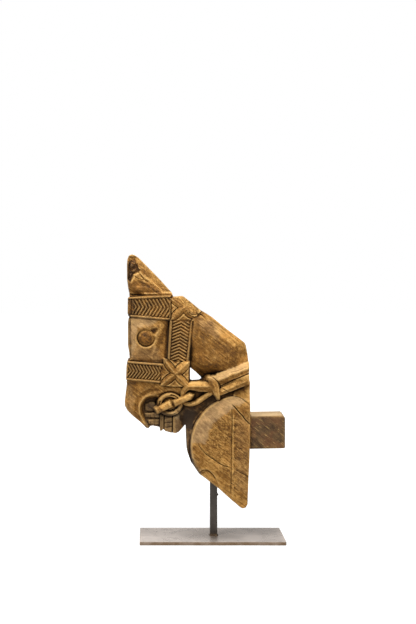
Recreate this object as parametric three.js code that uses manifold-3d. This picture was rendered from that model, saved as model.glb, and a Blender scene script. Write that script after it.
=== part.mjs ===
// A horse's head and chest carved from one timber, bridled, held up by a square steel post on a
// steel plate. Millimetres, +Z up. The horse faces -X and its left side looks towards -Y.
// The origin is the centre of the plate's underside. Every carved detail is on both sides.

import * as THREE from 'three';
import Module from 'manifold-3d';
import { mergeVertices } from 'three/addons/utils/BufferGeometryUtils.js';

const wasm = await Module();
wasm.setup();

// Driving dimensions.
const plate = { length: 272, depth: 130, thickness: 6, bevel: 0.8 };
const post = { side: 14, x: 4, top: 148, bevel: 0.6 };
const bead = { radius: 4, z: 83, sunk: 1.4 };
const fitGap = 0.3;
const clearance = 9;   // how far a cut runs on past the carved surface

const noseX = -162;
const browX = -157;
const backX = 68;
const earTipZ = 537;
const crestZ = 459;
const chestTipZ = 66;

const skull = { half: 45, bevel: 7 };
const muzzle = { half: 42, bevel: 9 };
const neck = { half: 49, bevel: 15 };
const chest = {
  half: 50, bevel: 6, centreX: 55, centreZ: 180, radius: 95.5, arrisX: 36, stripDrop: 2.5,
};
const keel = { half: 33, bevel: 5, frontX: -49 };
const web = { half: 24 };
const strap = {
  half: 48, border: 3.5, borderRise: 1.6, chevronRise: 1.4, endGap: 3, barShare: 0.5, lean: 0.62, bite: 0.1,
};
const rosette = { half: 48, rise: 4, petalWidth: 14 };
const rein = { inner: 20, half: 51 };
const lip = { rise: 2, width: 7 };
const mouth = { inner: 14, slot: 3, slotDepth: 5, ribDepth: 3 };
const ring = { radius: 19, tube: 3.6, half: 47 };
const eye = { x: -124, z: 382, radius: 16, half: 48 };
const ear = { inner: 9, outer: 40, bevel: 4, hollowDepth: 12 };
const tenon = { endX: 136, half: 39, bottom: 175, top: 236, corner: 4 };

const at = (x, z) => new THREE.Vector2(x, z);

// A closed geometry as a solid that can be joined and cut.
function solid(geometry) {
  geometry.deleteAttribute('normal');
  geometry.deleteAttribute('uv');
  const merged = mergeVertices(geometry, 1e-4);
  return new wasm.Manifold(new wasm.Mesh({
    numProp: 3,
    vertProperties: new Float32Array(merged.attributes.position.array),
    triVerts: new Uint32Array(merged.index.array),
  }));
}

// An outline in X and Z, given depth along Y from one value to another, with bevelled edges.
function between(outline, fromY, toY, bevel = 0, steps = 3) {
  const geometry = new THREE.ExtrudeGeometry(new THREE.Shape(outline), {
    depth: toY - fromY - 2 * bevel,
    bevelEnabled: bevel > 0,
    bevelThickness: bevel,
    bevelSize: bevel,
    bevelOffset: -bevel,
    bevelSegments: steps,
  });
  geometry.translate(0, 0, bevel - toY);
  geometry.rotateX(Math.PI / 2);
  return solid(geometry);
}

const slab = (outline, half, bevel, steps) => between(outline, -half, half, bevel, steps);

function pair(outline, inner, outer, bevel, steps) {
  return between(outline, inner, outer, bevel, steps).add(between(outline, -outer, -inner, bevel, steps));
}

const join = (solids) => solids.reduce((all, next) => all.add(next));

// Points on a circle, from one angle to another in degrees.
function arc(centreX, centreZ, radius, fromDegrees, toDegrees, count) {
  const points = [];
  for (let step = 0; step <= count; step += 1) {
    const angle = THREE.MathUtils.degToRad(fromDegrees + (toDegrees - fromDegrees) * step / count);
    points.push(at(centreX + radius * Math.cos(angle), centreZ + radius * Math.sin(angle)));
  }
  return points;
}

// The outline of a strip of even or tapering width along a smooth line.
function strip(line, startWidth, endWidth = startWidth, count = 6) {
  const curve = new THREE.SplineCurve(line);
  const left = [];
  const right = [];
  for (let step = 0; step <= count; step += 1) {
    const centre = curve.getPoint(step / count);
    const along = curve.getTangent(step / count);
    const half = (startWidth + (endWidth - startWidth) * step / count) / 2;
    left.push(at(centre.x - along.y * half, centre.y + along.x * half));
    right.unshift(at(centre.x + along.y * half, centre.y - along.x * half));
  }
  return [...right, ...left];
}

// Head, neck and chest.
function skullMass() {
  return slab([
    at(browX + 2, 465), at(browX, 430), at(browX + 2, 345), at(noseX + 2, 336), at(noseX + 2, 296),
    at(-60, 290), at(-46, 294), at(-45, 340), at(-37, 414), at(-20, 431), at(-54, crestZ), at(-75, 461),
  ], skull.half, skull.bevel);
}

function muzzleMass() {
  return slab([
    at(noseX + 1, 310), at(noseX - 1, 262), at(-157, 248), at(-136, 228), at(-124, 215), at(-115, 216),
    at(-98, 214), at(-94, 209), at(-67, 205), at(-52, 219), at(-46, 250), at(-44, 310),
  ], muzzle.half, muzzle.bevel);
}

function neckMass() {
  return slab([
    at(-60, crestZ), at(-21, 434), at(12, 411), at(54, 378), at(63, 355), at(backX, 300),
    at(backX, 262), at(30, 274), at(-4, 303), at(-19, 306), at(-42, 327), at(-70, 350),
  ], neck.half, neck.bevel, 4);
}

function chestMass() {
  return slab([
    at(backX, 300), at(40, 292), ...arc(chest.centreX, chest.centreZ, chest.radius, 104, 208, 9),
    at(14, 101), at(54, chestTipZ), at(64, 74), at(66, 155),
  ], chest.half, chest.bevel);
}

function keelMass() {
  return slab([
    at(-10, 285), at(keel.frontX - 6, 262), at(keel.frontX, 214), at(keel.frontX, 178), at(-44, 158),
    at(-31, 136), at(20, 104), at(50, 180), at(40, 270),
  ], keel.half, keel.bevel);
}

function throatWeb() {
  return slab([
    at(-62, 292), at(-60, 230), at(-44, 214), at(0, 200), at(30, 270), at(4, 300), at(-20, 299),
  ], web.half);
}

function backTenon() {
  const length = tenon.endX;
  return slab([
    at(40, tenon.bottom), at(length - tenon.corner, tenon.bottom), at(length, tenon.bottom + tenon.corner),
    at(length, tenon.top - tenon.corner), at(length - tenon.corner, tenon.top), at(40, tenon.top),
  ], tenon.half, 2, 1);
}

// The two ears, with a hollow in each and a cleft between them.
function ears() {
  const outline = [
    at(-151, earTipZ), at(-158, 531), at(-159, 486), at(-155, 466), at(-150, 455), at(-70, 455),
    at(-75, 463),
  ];
  const hollow = [
    at(-151, 520), at(-141, 509), at(-138, 496), at(-144, 486), at(-153, 482), at(-157, 500),
  ];
  return pair(outline, ear.inner, ear.outer, ear.bevel, 2)
    .subtract(pair(hollow, ear.outer - ear.hollowDepth, ear.outer + clearance));
}

// A strap between two points: a flat band, two raised borders and a row of chevrons that point
// along it.
function chevronStrap(start, end, width, count) {
  const along = end.clone().sub(start).normalize();
  const across = at(-along.y, along.x);
  const place = (distance, side) => start.clone()
    .addScaledVector(along, distance)
    .addScaledVector(across, side);
  const length = start.distanceTo(end);
  const edge = width / 2;
  const inside = edge - strap.border;
  const pitch = (length - 2 * strap.endGap) / count;
  const bar = pitch * strap.barShare;
  const lean = inside * strap.lean;
  const pieces = [
    slab([place(0, -edge), place(length, -edge), place(length, edge), place(0, edge)], strap.half),
  ];
  for (const side of [-1, 1]) {
    const outer = side * edge;
    const inner = side * inside;
    const corners = [place(0, outer), place(length, outer), place(length, inner), place(0, inner)];
    pieces.push(slab(side < 0 ? corners : corners.reverse(), strap.half + strap.borderRise));
  }
  for (let index = 0; index < count; index += 1) {
    const foot = strap.endGap + pitch * index;
    const tip = foot + lean;
    const outer = inside + strap.bite;
    if (tip + bar < length) {
      pieces.push(slab([
        place(foot, -outer), place(foot + bar, -outer), place(tip + bar, 0),
        place(foot + bar, outer), place(foot, outer), place(tip, 0),
      ], strap.half + strap.chevronRise));
    }
  }
  return join(pieces);
}

// A leaf with bevelled edges, from one point to another.
function petal(start, end) {
  const along = end.clone().sub(start);
  const length = along.length();
  along.normalize();
  const across = at(-along.y, along.x);
  const half = rosette.petalWidth / 2;
  const sides = [];
  for (const [share, width] of [[0, 0.5], [0.35, 0.85], [0.7, 1], [1, 0.55]]) {
    const centre = start.clone().addScaledVector(along, share * length);
    sides.unshift(centre.clone().addScaledVector(across, half * width));
    sides.push(centre.addScaledVector(across, -half * width));
  }
  return slab(sides, rosette.half + rosette.rise, 1.4, 1);
}

// Four leaves from the middle to the corners, on a plain tablet.
function leafRosette(middle, corners) {
  return join([
    slab(corners, rosette.half, 1, 1),
    ...corners.map((corner) => petal(middle, corner)),
  ]);
}

function bridle() {
  const browband = chevronStrap(at(browX - 1, 440), at(-76, 439), 42, 12);
  const noseband = chevronStrap(at(noseX + 1, 321), at(-94, 316), 36, 9);
  const cheekStrap = chevronStrap(at(-65, 338), at(-58, 416), 40, 12);
  const pollRosette = leafRosette(at(-52, 437), [at(-77, 416), at(-43, 414), at(-20, 431), at(-55, 460)]);
  const noseRosette = leafRosette(at(-69, 315), [at(-95, 294), at(-44, 294), at(-44, 338), at(-90, 342)]);
  const wornAway = slab([
    at(-84, 462), at(-55, 461), at(-20, 434), at(10, 416), at(10, 480), at(-84, 480),
  ], rosette.half + 2 * rosette.rise);
  return join([browband, noseband, cheekStrap, pollRosette.subtract(wornAway), noseRosette]);
}

// A round eye in a shallow groove, with a pointed corner behind it.
function addEye(head) {
  const groove = arc(eye.x, eye.z, eye.radius + 2.5, 0, 345, 23);
  const corner = [at(-110, 391), at(-101, 400), at(-108, 401)];
  const ball = arc(eye.x, eye.z, eye.radius, 0, 342, 19);
  return head
    .subtract(pair(groove, skull.half - 3, skull.half + clearance))
    .subtract(pair(corner, skull.half - 3, skull.half + clearance))
    .add(slab(ball, eye.half, 3.5, 2));
}

// The open mouth with its teeth, the ridge of the lip round it and the ribbed bar behind it.
function addMouth(head) {
  const clear = muzzle.half + clearance;
  const halfSlot = mouth.slot / 2;
  const opening = [
    at(-131, 270), at(-127, 246), at(-114, 219), at(-108, 200), at(-101, 200), at(-101, 262), at(-118, 278),
  ];
  const teeth = [238, 225].map((z) => slab([
    at(-124, z - 5), at(-100, z - 4), at(-100, z + 4), at(-122, z + 5),
  ], muzzle.half - 5, 2, 1));
  const uprights = [-90, -74].map((x) => pair([
    at(x - halfSlot, 200), at(x + halfSlot, 200), at(x + halfSlot, 254), at(x - halfSlot, 254),
  ], muzzle.half - mouth.slotDepth, clear));
  const ribs = [222, 233, 244].map((z) => pair([
    at(-90, z - halfSlot), at(-75, z - halfSlot), at(-75, z + halfSlot), at(-90, z + halfSlot),
  ], muzzle.half - mouth.ribDepth, clear));
  const lipLine = strip([
    at(-98, 289), at(-122, 282), at(-138, 264), at(-138, 240), at(-123, 219),
  ], lip.width);
  return join([
    head.subtract(join([pair(opening, mouth.inner, clear), ...uprights, ...ribs])),
    slab(lipLine, muzzle.half + lip.rise, 2, 1),
    ...teeth,
  ]);
}

function bitRing() {
  const hoop = (side) => {
    const geometry = new THREE.TorusGeometry(ring.radius, ring.tube, 6, 20);
    geometry.rotateX(Math.PI / 2);
    geometry.translate(-79.5, side * ring.half, 260);
    return solid(geometry);
  };
  const strapEnd = strip([at(-107, 247), at(-75, 262), at(-44, 276)], 13, 11, 4);
  return join([hoop(-1), hoop(1), pair(strapEnd, rein.inner, rein.half + 1, 2, 1)]);
}

// The reins run back from the ring to the cut end of the neck, gathered by a keeper.
function reins() {
  const runs = [
    [strip([at(-55, 272), at(-50, 285), at(-32, 292), at(0, 293)], 14, 21), rein.half - 1],
    [strip([at(-4, 299), at(32, 315), at(backX - 1, 331)], 21, 19), rein.half],
    [strip([at(-54, 259), at(-41, 253), at(-20, 263), at(4, 279), at(14, 285)], 8, 9), rein.half - 5],
    [strip([at(8, 276), at(40, 292), at(backX - 1, 311)], 14, 17), rein.half - 1],
  ];
  const keeper = strip([at(-8, 310), at(2, 290), at(8, 270)], 13, 8, 4);
  return join([
    ...runs.map(([outline, half]) => pair(outline, rein.inner, half, 3, 2)),
    pair(keeper, rein.inner, rein.half + 3, 2, 1),
  ]);
}

// The back edge of the chest is planed down behind an upright arris.
function backStrip() {
  const { arrisX, stripDrop, half } = chest;
  return pair([at(arrisX, 40), at(90, 40), at(90, 268), at(arrisX, 258)], half - stripDrop, half + clearance);
}

// The saw cut down the back of the neck, which the reins run out at.
function backCut() {
  return slab([
    at(backX, 240), at(backX, 306), at(backX - 3, 345), at(backX + 40, 345), at(backX + 40, 240),
  ], rein.half + clearance);
}

// The square socket in the chest's underside that the post stands in.
function postSocket() {
  const half = post.side / 2 + fitGap;
  return slab([
    at(post.x - half, 40), at(post.x + half, 40), at(post.x + half, post.top + fitGap),
    at(post.x - half, post.top + fitGap),
  ], half);
}

function carvedHead() {
  const masses = join([skullMass(), muzzleMass(), neckMass(), chestMass(), keelMass(), throatWeb()]);
  const carved = addMouth(addEye(masses.subtract(backStrip())));
  const dressed = join([carved, ears(), bridle(), bitRing(), reins()]).subtract(backCut());
  return dressed.add(backTenon()).subtract(postSocket());
}

// The stand.
function basePlate() {
  const half = plate.length / 2;
  const outline = [
    at(-half, 0), at(half, 0), at(half, plate.thickness - plate.bevel),
    at(half - plate.bevel, plate.thickness), at(plate.bevel - half, plate.thickness),
    at(-half, plate.thickness - plate.bevel),
  ];
  return slab(outline, plate.depth / 2);
}

// The post, with one bead of weld on its back face.
function standPost() {
  const half = post.side / 2;
  const bar = new THREE.ExtrudeGeometry(new THREE.Shape([
    at(-half + post.bevel, -half), at(half - post.bevel, -half), at(half, post.bevel - half),
    at(half, half - post.bevel), at(half - post.bevel, half), at(post.bevel - half, half),
    at(-half, half - post.bevel), at(-half, post.bevel - half),
  ]), { depth: post.top - plate.thickness - fitGap, bevelEnabled: false });
  bar.translate(post.x, 0, plate.thickness + fitGap);
  const lump = new THREE.SphereGeometry(bead.radius, 10, 8);
  lump.translate(post.x + half - bead.sunk, 0, bead.z);
  return solid(bar).add(solid(lump));
}

// One finished piece as a named mesh.
function piece(name, body, look) {
  const { vertProperties, triVerts } = body.getMesh();
  const geometry = new THREE.BufferGeometry();
  geometry.setAttribute('position', new THREE.BufferAttribute(vertProperties, 3));
  geometry.setIndex(new THREE.BufferAttribute(triVerts, 1));
  geometry.computeVertexNormals();
  const mesh = new THREE.Mesh(geometry, new THREE.MeshStandardMaterial(look));
  mesh.name = name;
  return mesh;
}

const agedWood = { color: 0xa9793f, roughness: 0.72, metalness: 0 };
const darkSteel = { color: 0x50483f, roughness: 0.45, metalness: 0.9 };
const greySteel = { color: 0xb8aca2, roughness: 0.32, metalness: 0.85 };

const group = new THREE.Group();
group.add(
  piece('carved_head', carvedHead(), agedWood),
  piece('post', standPost(), darkSteel),
  piece('base_plate', basePlate(), greySteel),
);

export default group;
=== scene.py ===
import bpy
import math
import numpy as np
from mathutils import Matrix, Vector


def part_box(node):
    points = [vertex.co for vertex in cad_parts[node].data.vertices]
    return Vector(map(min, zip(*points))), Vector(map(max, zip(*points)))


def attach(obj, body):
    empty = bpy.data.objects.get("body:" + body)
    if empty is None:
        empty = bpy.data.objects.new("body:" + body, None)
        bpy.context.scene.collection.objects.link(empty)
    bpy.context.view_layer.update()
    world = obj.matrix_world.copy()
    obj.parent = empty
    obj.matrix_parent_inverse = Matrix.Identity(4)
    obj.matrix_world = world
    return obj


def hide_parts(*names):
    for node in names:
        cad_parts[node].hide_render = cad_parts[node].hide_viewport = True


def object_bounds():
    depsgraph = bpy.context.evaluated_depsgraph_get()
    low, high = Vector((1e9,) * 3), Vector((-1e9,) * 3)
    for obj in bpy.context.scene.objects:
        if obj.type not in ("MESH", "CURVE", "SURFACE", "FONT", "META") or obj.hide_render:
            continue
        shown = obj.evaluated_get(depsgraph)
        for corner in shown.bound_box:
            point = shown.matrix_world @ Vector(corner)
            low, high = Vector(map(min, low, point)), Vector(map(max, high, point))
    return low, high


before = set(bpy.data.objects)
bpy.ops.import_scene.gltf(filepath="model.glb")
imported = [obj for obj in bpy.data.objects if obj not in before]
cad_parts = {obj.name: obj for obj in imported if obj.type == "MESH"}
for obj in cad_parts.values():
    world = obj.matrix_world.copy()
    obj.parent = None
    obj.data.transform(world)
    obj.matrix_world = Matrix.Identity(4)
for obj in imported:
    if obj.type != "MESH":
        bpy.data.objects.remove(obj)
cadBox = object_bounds()
print("frame loaded:", ", ".join(sorted(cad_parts)))

mm = 0.001
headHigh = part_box("carved_head")[1] / mm
postLow, postHigh = [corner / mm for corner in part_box("post")]
plateLow, plateHigh = [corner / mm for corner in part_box("base_plate")]
postHalf = (postHigh.y - postLow.y) / 2
postMiddle = postLow.x + postHalf       # the box also holds the bead on the post's +X face

studio = {  # metres and watts
    "eye": (-0.1148, -2.3, 0.4943),
    "lens": 69.8, "sensor": 36, "shift": (0.0913, -0.0545),
    "aim": (-0.03, 0, 0.3),
    "lights": {  # place, width and power
        "keyLight": ((-1.2, -1.3, 2.1), 0.7, 70),
        "fillLight": ((1.9, -2.0, 1.1), 1.6, 11),
        "topLight": ((0.4, -0.5, 2.4), 0.9, 86),
        "backLight": ((-0.6, 2.2, 1.8), 1.6, 12),
    },
    "skyLight": 0.33,          # what the sky throws on the object; the sky itself shows white
    "floorReach": 14.0, "floorDrop": 0.0004,
    "floorColour": (0.30, 0.30, 0.30), "floorShade": 0.985,
    "floorGlow": (0.70, 0.70, 0.70), "glowFrom": 150, "glowTo": 1100,      # these two in millimetres
    "patterns": {"paper": (None, 180, 2.0, 0.5, 0.0)},
}


class Signal:  # a socket that can be used in sums
    def __init__(self, nodes, socket):
        self.nodes, self.socket = nodes, socket

    def maths(self, operation, other, swapped=False):
        pair = (other, self) if swapped else (self, other)
        return self.nodes.node("Math", {"operation": operation}, {0: pair[0], 1: pair[1]})

    def __add__(self, other):
        return self.maths("ADD", other)

    def __sub__(self, other):
        return self.maths("SUBTRACT", other)

    def __rsub__(self, other):
        return self.maths("SUBTRACT", other, True)

    def __mul__(self, other):
        return self.maths("MULTIPLY", other)

    __radd__ = __add__
    __rmul__ = __mul__


class Nodes:  # a node tree, and the one way of adding a node to it
    def __init__(self, tree, last):
        self.tree, self.last = tree, tree.nodes[last]

    def node(self, kind, settings=None, inputs=None, output=0):
        made = self.tree.nodes.new("ShaderNode" + kind)
        for name, value in (settings or {}).items():
            if name == "stops":
                ramp = made.color_ramp.elements
                while len(ramp) < len(value):
                    ramp.new(0.5)
                for element, (position, colour) in zip(ramp, value):
                    element.position, element.color = position, (*colour, 1)
            else:
                setattr(made, name, value)
        for key, value in (inputs or {}).items():
            if isinstance(value, Signal):
                self.tree.links.new(value.socket, made.inputs[key])
            else:
                made.inputs[key].default_value = value
        return Signal(self, made.outputs[output])

    def feed(self, socket, signal):
        self.tree.links.new(signal.socket, self.last.inputs[socket])


class Finish(Nodes):  # one material, and the dictionary that its patterns come from
    def __init__(self, name, looks, **fixed):
        self.material = bpy.data.materials.new(name)
        self.material.use_nodes = True
        super().__init__(self.material.node_tree, "Principled BSDF")
        for socket, value in fixed.items():
            self.last.inputs[socket.replace("_", " ")].default_value = value
        self.looks = looks
        metres = self.node("TexCoord", output="Object")
        self.place = self.node("VectorMath", {"operation": "SCALE"}, {0: metres, "Scale": 1 / mm})

    def distance(self):
        return self.node("VectorMath", {"operation": "LENGTH"}, {0: self.place}, "Value")

    def pattern(self, name, turn=0.0):  # noise by its name, turned and drawn out where it has a stretch
        stretch, size, detail, roughness, distortion = self.looks["patterns"][name]
        place = self.place
        if stretch:
            inputs = {"Vector": place, "Rotation": (0, turn, 0), "Scale": stretch}
            place = self.node("Mapping", {"vector_type": "TEXTURE"}, inputs)
        inputs = {"Vector": place, "Scale": 1 / size, "Detail": detail, "Roughness": roughness}
        return self.node("TexNoise", None, {**inputs, "Distortion": distortion})

    def tint(self, share, first, second):
        pair = [colour if isinstance(colour, Signal) else (*colour, 1) for colour in (first, second)]
        settings = {"data_type": "RGBA", "clamp_factor": True}
        return self.node("Mix", settings, {"Factor": share, 6: pair[0], 7: pair[1]}, 2)

    def between(self, low, high, value):
        inputs = {"Value": value, "From Min": low, "From Max": high}
        return self.node("MapRange", {"interpolation_type": "SMOOTHSTEP"}, inputs)

    def attribute(self, name):
        return self.node("Attribute", {"attribute_name": name}, output="Fac")

    def bump(self, height, distance, strength=1.0):
        inputs = {"Height": height, "Distance": distance, "Strength": strength}
        self.feed("Normal", self.node("Bump", None, inputs))


def addCamera():
    data = bpy.data.cameras.new("camera")
    data.lens = studio["lens"]
    data.sensor_width = studio["sensor"]
    data.shift_x, data.shift_y = studio["shift"]
    data.clip_end = 50
    camera = bpy.data.objects.new("camera", data)
    camera.location = studio["eye"]
    camera.rotation_euler = (math.radians(90), 0, 0)
    bpy.context.scene.collection.objects.link(camera)
    bpy.context.scene.camera = camera


def addLights():
    for name, (place, width, power) in studio["lights"].items():
        data = bpy.data.lights.new(name, "AREA")
        data.shape = "SQUARE"
        data.size = width
        data.energy = power
        light = bpy.data.objects.new(name, data)
        light.location = place
        light.rotation_euler = (Vector(studio["aim"]) - Vector(place)).to_track_quat("-Z", "Y").to_euler()
        bpy.context.scene.collection.objects.link(light)


def addSky():
    sky = bpy.data.worlds.new("softBox")
    sky.use_nodes = True
    nodes = Nodes(sky.node_tree, "Background")
    nodes.last.inputs["Color"].default_value = (1, 1, 1, 1)
    seen = nodes.node("LightPath", output="Is Camera Ray")
    nodes.feed("Strength", nodes.node("MapRange", None, {"Value": seen, "To Min": studio["skyLight"]}))
    bpy.context.scene.world = sky


def floorPaper():
    finish = Finish("floorPaper", studio, Roughness=0.22, Emission_Strength=1.0)
    shade = tuple(part * studio["floorShade"] for part in studio["floorColour"])
    finish.feed("Base Color", finish.tint(finish.pattern("paper"), studio["floorColour"], shade))
    # the sweep is lit more, away from the object
    far = finish.between(studio["glowFrom"], studio["glowTo"], finish.distance())
    finish.feed("Emission Color", finish.tint(far, studio["floorGlow"], (1, 1, 1)))
    return finish.material


def addFloor():
    reach = studio["floorReach"]
    mesh = bpy.data.meshes.new("floor")
    corners = [(-reach, -reach, 0), (reach, -reach, 0), (reach, reach, 0), (-reach, reach, 0)]
    mesh.from_pydata(corners, [], [(0, 1, 2, 3)])
    mesh.materials.append(floorPaper())
    floor = bpy.data.objects.new("floor", mesh)
    floor.location.z = cadBox[0].z - studio["floorDrop"]
    bpy.context.scene.collection.objects.link(floor)
    return floor


wood = {
    "grainTurn": math.radians(38),       # the grain falls towards the tenon
    "sawTurn": math.radians(37),         # saw marks on the tenon's sides
    "deep": (0.028, 0.012, 0.0035),
    "middle": (0.140, 0.060, 0.0095),
    "pale": (0.420, 0.232, 0.064),
    "greyDark": (0.038, 0.025, 0.015), "greyPale": (0.430, 0.305, 0.165),
    # near-black brown for grime, and for painted shade in creases, grooves and under edges
    "dirtAndShade": (0.013, 0.0072, 0.0038),
    "red": (0.085, 0.032, 0.013),
    "rubbed": (0.430, 0.264, 0.092),
    "amber": (0.310, 0.125, 0.020),
    "patterns": {  # stretch, size in millimetres, detail, roughness and distortion
        "bands": ((14, 1, 1), 3.4, 5.0, 0.65, 0.5),
        "fibres": ((8, 1, 1), 1.5, 3.0, 0.65, 0.0),
        "patches": (None, 34, 3.0, 0.6, 0.6),
        "mottle": (None, 7, 4.0, 0.65, 0.0),
        "specks": ((2.4, 1, 1), 1.6, 3.0, 0.7, 0.0),
        "pores": ((6, 1, 1), 0.8, 2.0, 0.5, 0.0),
        "saw": ((12, 1, 1), 1.5, 2.0, 0.6, 0.3),
    },
    "relief": 0.0017,                    # metres
}


def agedWood():
    finish = Finish("agedWood", wood, Specular_IOR_Level=0.10)
    bands, fibres, patches, mottle, specks, pores = (
        finish.pattern(name, wood["grainTurn"])
        for name in ("bands", "fibres", "patches", "mottle", "specks", "pores"))
    saw = finish.pattern("saw", wood["sawTurn"])
    grime, hollow, worn, tone, rough, sawn, grey = (
        finish.attribute(name) for name in ("grime", "hollow", "worn", "tone", "rough", "sawn", "grey"))

    calm = 1 - grey * 1.1       # grey wood shows less figure
    level = 0.52 + (bands - 0.5) * 1.05 * calm + (patches - 0.5) * 0.60
    level = level + (mottle - 0.5) * 0.70 * calm + tone
    level = level + ((specks - 0.5) * (0.55 + rough * 1.3) + (fibres - 0.5) * 0.60) * calm
    stops = [(0.06, wood["deep"]), (0.46, wood["middle"]), (0.92, wood["pale"])]
    colour = finish.node("ValToRGB", {"stops": stops}, {"Fac": level})
    colour = finish.tint(finish.between(0.50, 0.72, patches) * level * 0.5, colour, wood["amber"])
    weathered = finish.tint(finish.between(0.0, 0.95, level), wood["greyDark"], wood["greyPale"])
    colour = finish.tint(grey, colour, weathered)
    colour = finish.tint(finish.between(0.55, 0.68, fibres) * 0.55 * calm, colour, wood["deep"])
    colour = finish.tint(finish.between(0.42, 0.60, patches) * sawn * 0.6, colour, wood["red"])
    colour = finish.tint(worn * (0.20 + mottle * 0.6) * (1.0 + tone * 1.8), colour, wood["rubbed"])
    colour = finish.tint(finish.between(0.61, 0.69, saw) * sawn * 0.60, colour, wood["rubbed"])
    # painted shade: the wide hollows, such as between jaw and chest and under the reins, are drawn deep
    # brown
    colour = finish.tint(hollow * 0.86, colour, wood["deep"])
    # grime together with painted shade: darker in creases and grooves and where wood closes round a point
    colour = finish.tint(grime * (0.80 + mottle * 0.4), colour, wood["dirtAndShade"])
    finish.feed("Base Color", colour)
    finish.feed("Roughness", 0.50 + mottle * 0.22 + grime * 0.2)
    relief = bands * 0.5 + fibres * 0.6 + pores * 0.35 + mottle * 0.8
    relief = relief + specks * rough * 1.6 + saw * sawn * 1.5
    finish.bump(relief, wood["relief"])
    return finish.material


steel = {
    "postDark": (0.030, 0.026, 0.022), "postPale": (0.110, 0.096, 0.082),
    "plateDark": (0.470, 0.400, 0.345), "platePale": (0.780, 0.690, 0.620),
    "rust": (0.110, 0.066, 0.032), "stain": (0.200, 0.150, 0.105),
    "stainFrom": 6, "stainTo": 90,      # millimetres from the post
    "patterns": {  # stretch, size in millimetres, detail, roughness and distortion
        "streaks": ((1, 1, 16), 1.6, 3.0, 0.6, 0.0),
        "scale": (None, 9, 4.0, 0.65, 0.0),
        "rolled": ((10, 1, 1), 2.2, 3.0, 0.6, 0.0),
        "clouds": (None, 26, 4.0, 0.6, 0.5),
        "specks": (None, 2.4, 2.0, 0.7, 0.0),
    },
    "postRelief": 0.0002, "plateRelief": 0.00012,       # metres
}


def darkSteel():
    finish = Finish("darkSteel", steel, Metallic=0.85)
    streaks, scale = finish.pattern("streaks"), finish.pattern("scale")
    colour = finish.tint(0.15 + streaks * 0.5 + (scale - 0.5) * 0.9, steel["postDark"], steel["postPale"])
    colour = finish.tint(finish.attribute("rust") * (0.3 + scale), colour, steel["rust"])
    finish.feed("Base Color", colour)
    finish.feed("Roughness", 0.34 + scale * 0.28)
    finish.bump(streaks * 0.6 + scale, steel["postRelief"], 0.6)
    return finish.material


def greySteel():
    finish = Finish("greySteel", steel)
    rolled, clouds, specks = (finish.pattern(name) for name in ("rolled", "clouds", "specks"))
    rust = finish.attribute("rust")
    colour = finish.tint(0.2 + clouds * 0.75 + (rolled - 0.5) * 0.5, steel["plateDark"], steel["platePale"])
    stain = finish.between(steel["stainTo"], steel["stainFrom"], finish.distance()) * (clouds - 0.12)
    colour = finish.tint(stain, colour, steel["stain"])
    colour = finish.tint(finish.between(0.66, 0.78, specks) * 0.3, colour, steel["postDark"])
    colour = finish.tint(rust * (0.75 + clouds * 0.4), colour, steel["rust"])
    finish.feed("Base Color", colour)
    finish.feed("Roughness", 0.18 + clouds * 0.22 + rust * 0.45)
    finish.feed("Metallic", 0.82 - rust * 0.7)
    finish.bump(rolled * 0.6 + specks * 0.2, steel["plateRelief"], 0.5)
    return finish.material


# the sides are drawn on a flat grid, in millimetres: x from nose to tenon, z up
grid = {"step": 0.5, "left": -168.0, "right": 78.0, "low": 60.0, "high": 542.0}
gridX = np.arange(grid["left"], grid["right"] + grid["step"] / 2, grid["step"])
gridZ = np.arange(grid["low"], grid["high"] + grid["step"] / 2, grid["step"])


def smoothStep(low, high, value):
    share = np.clip((value - low) / (high - low), 0, 1)
    return share * share * (3 - 2 * share)


def bell(value, width):
    return np.exp(-(value / width) ** 2)


def curveThrough(points, perSpan=5):  # a smooth line through a few points
    points = np.array(points, float)
    padded = np.vstack([2 * points[0] - points[1], points, 2 * points[-1] - points[-2]])
    share = np.linspace(0, 1, perSpan, endpoint=False)[:, None]
    runs = []
    for before, start, end, after in zip(padded, padded[1:], padded[2:], padded[3:]):
        runs.append(0.5 * (2 * start + (end - before) * share
                           + (2 * before - 5 * start + 4 * end - after) * share ** 2
                           + (3 * start - before - 3 * end + after) * share ** 3))
    return np.vstack([*runs, points[-1:]])


def circle(centreX, centreZ, radius, fromDegrees=0, toDegrees=360, count=36):
    angles = np.radians(np.linspace(fromDegrees, toDegrees, count))
    return np.stack([centreX + radius * np.cos(angles), centreZ + radius * np.sin(angles)], 1)


def window(points, margin):  # the part of the grid round some points
    points = np.asarray(points, float)
    (left, low), (right, high) = points.min(0) - margin, points.max(0) + margin
    across = slice(*np.searchsorted(gridX, [left, right]))
    up = slice(*np.searchsorted(gridZ, [low, high]))
    return (across, up), gridX[across][:, None], gridZ[up][None, :]


def lineDistance(x, z, points):  # distance to a line, and the share of the way along it
    points = np.asarray(points, float)
    shape = np.broadcast(x, z).shape
    nearest, along = np.full(shape, 1e9), np.zeros(shape)
    lengths = np.hypot(*(points[1:] - points[:-1]).T)
    run, total = 0.0, lengths.sum()
    for start, end, length in zip(points, points[1:], lengths):
        step = end - start
        share = ((x - start[0]) * step[0] + (z - start[1]) * step[1]) / max(length ** 2, 1e-9)
        share = np.clip(share, 0, 1)
        distance = np.hypot(x - start[0] - share * step[0], z - start[1] - share * step[1])
        closer = distance < nearest
        nearest = np.where(closer, distance, nearest)
        along = np.where(closer, (run + share * length) / total, along)
        run += length
    return nearest, along


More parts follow.
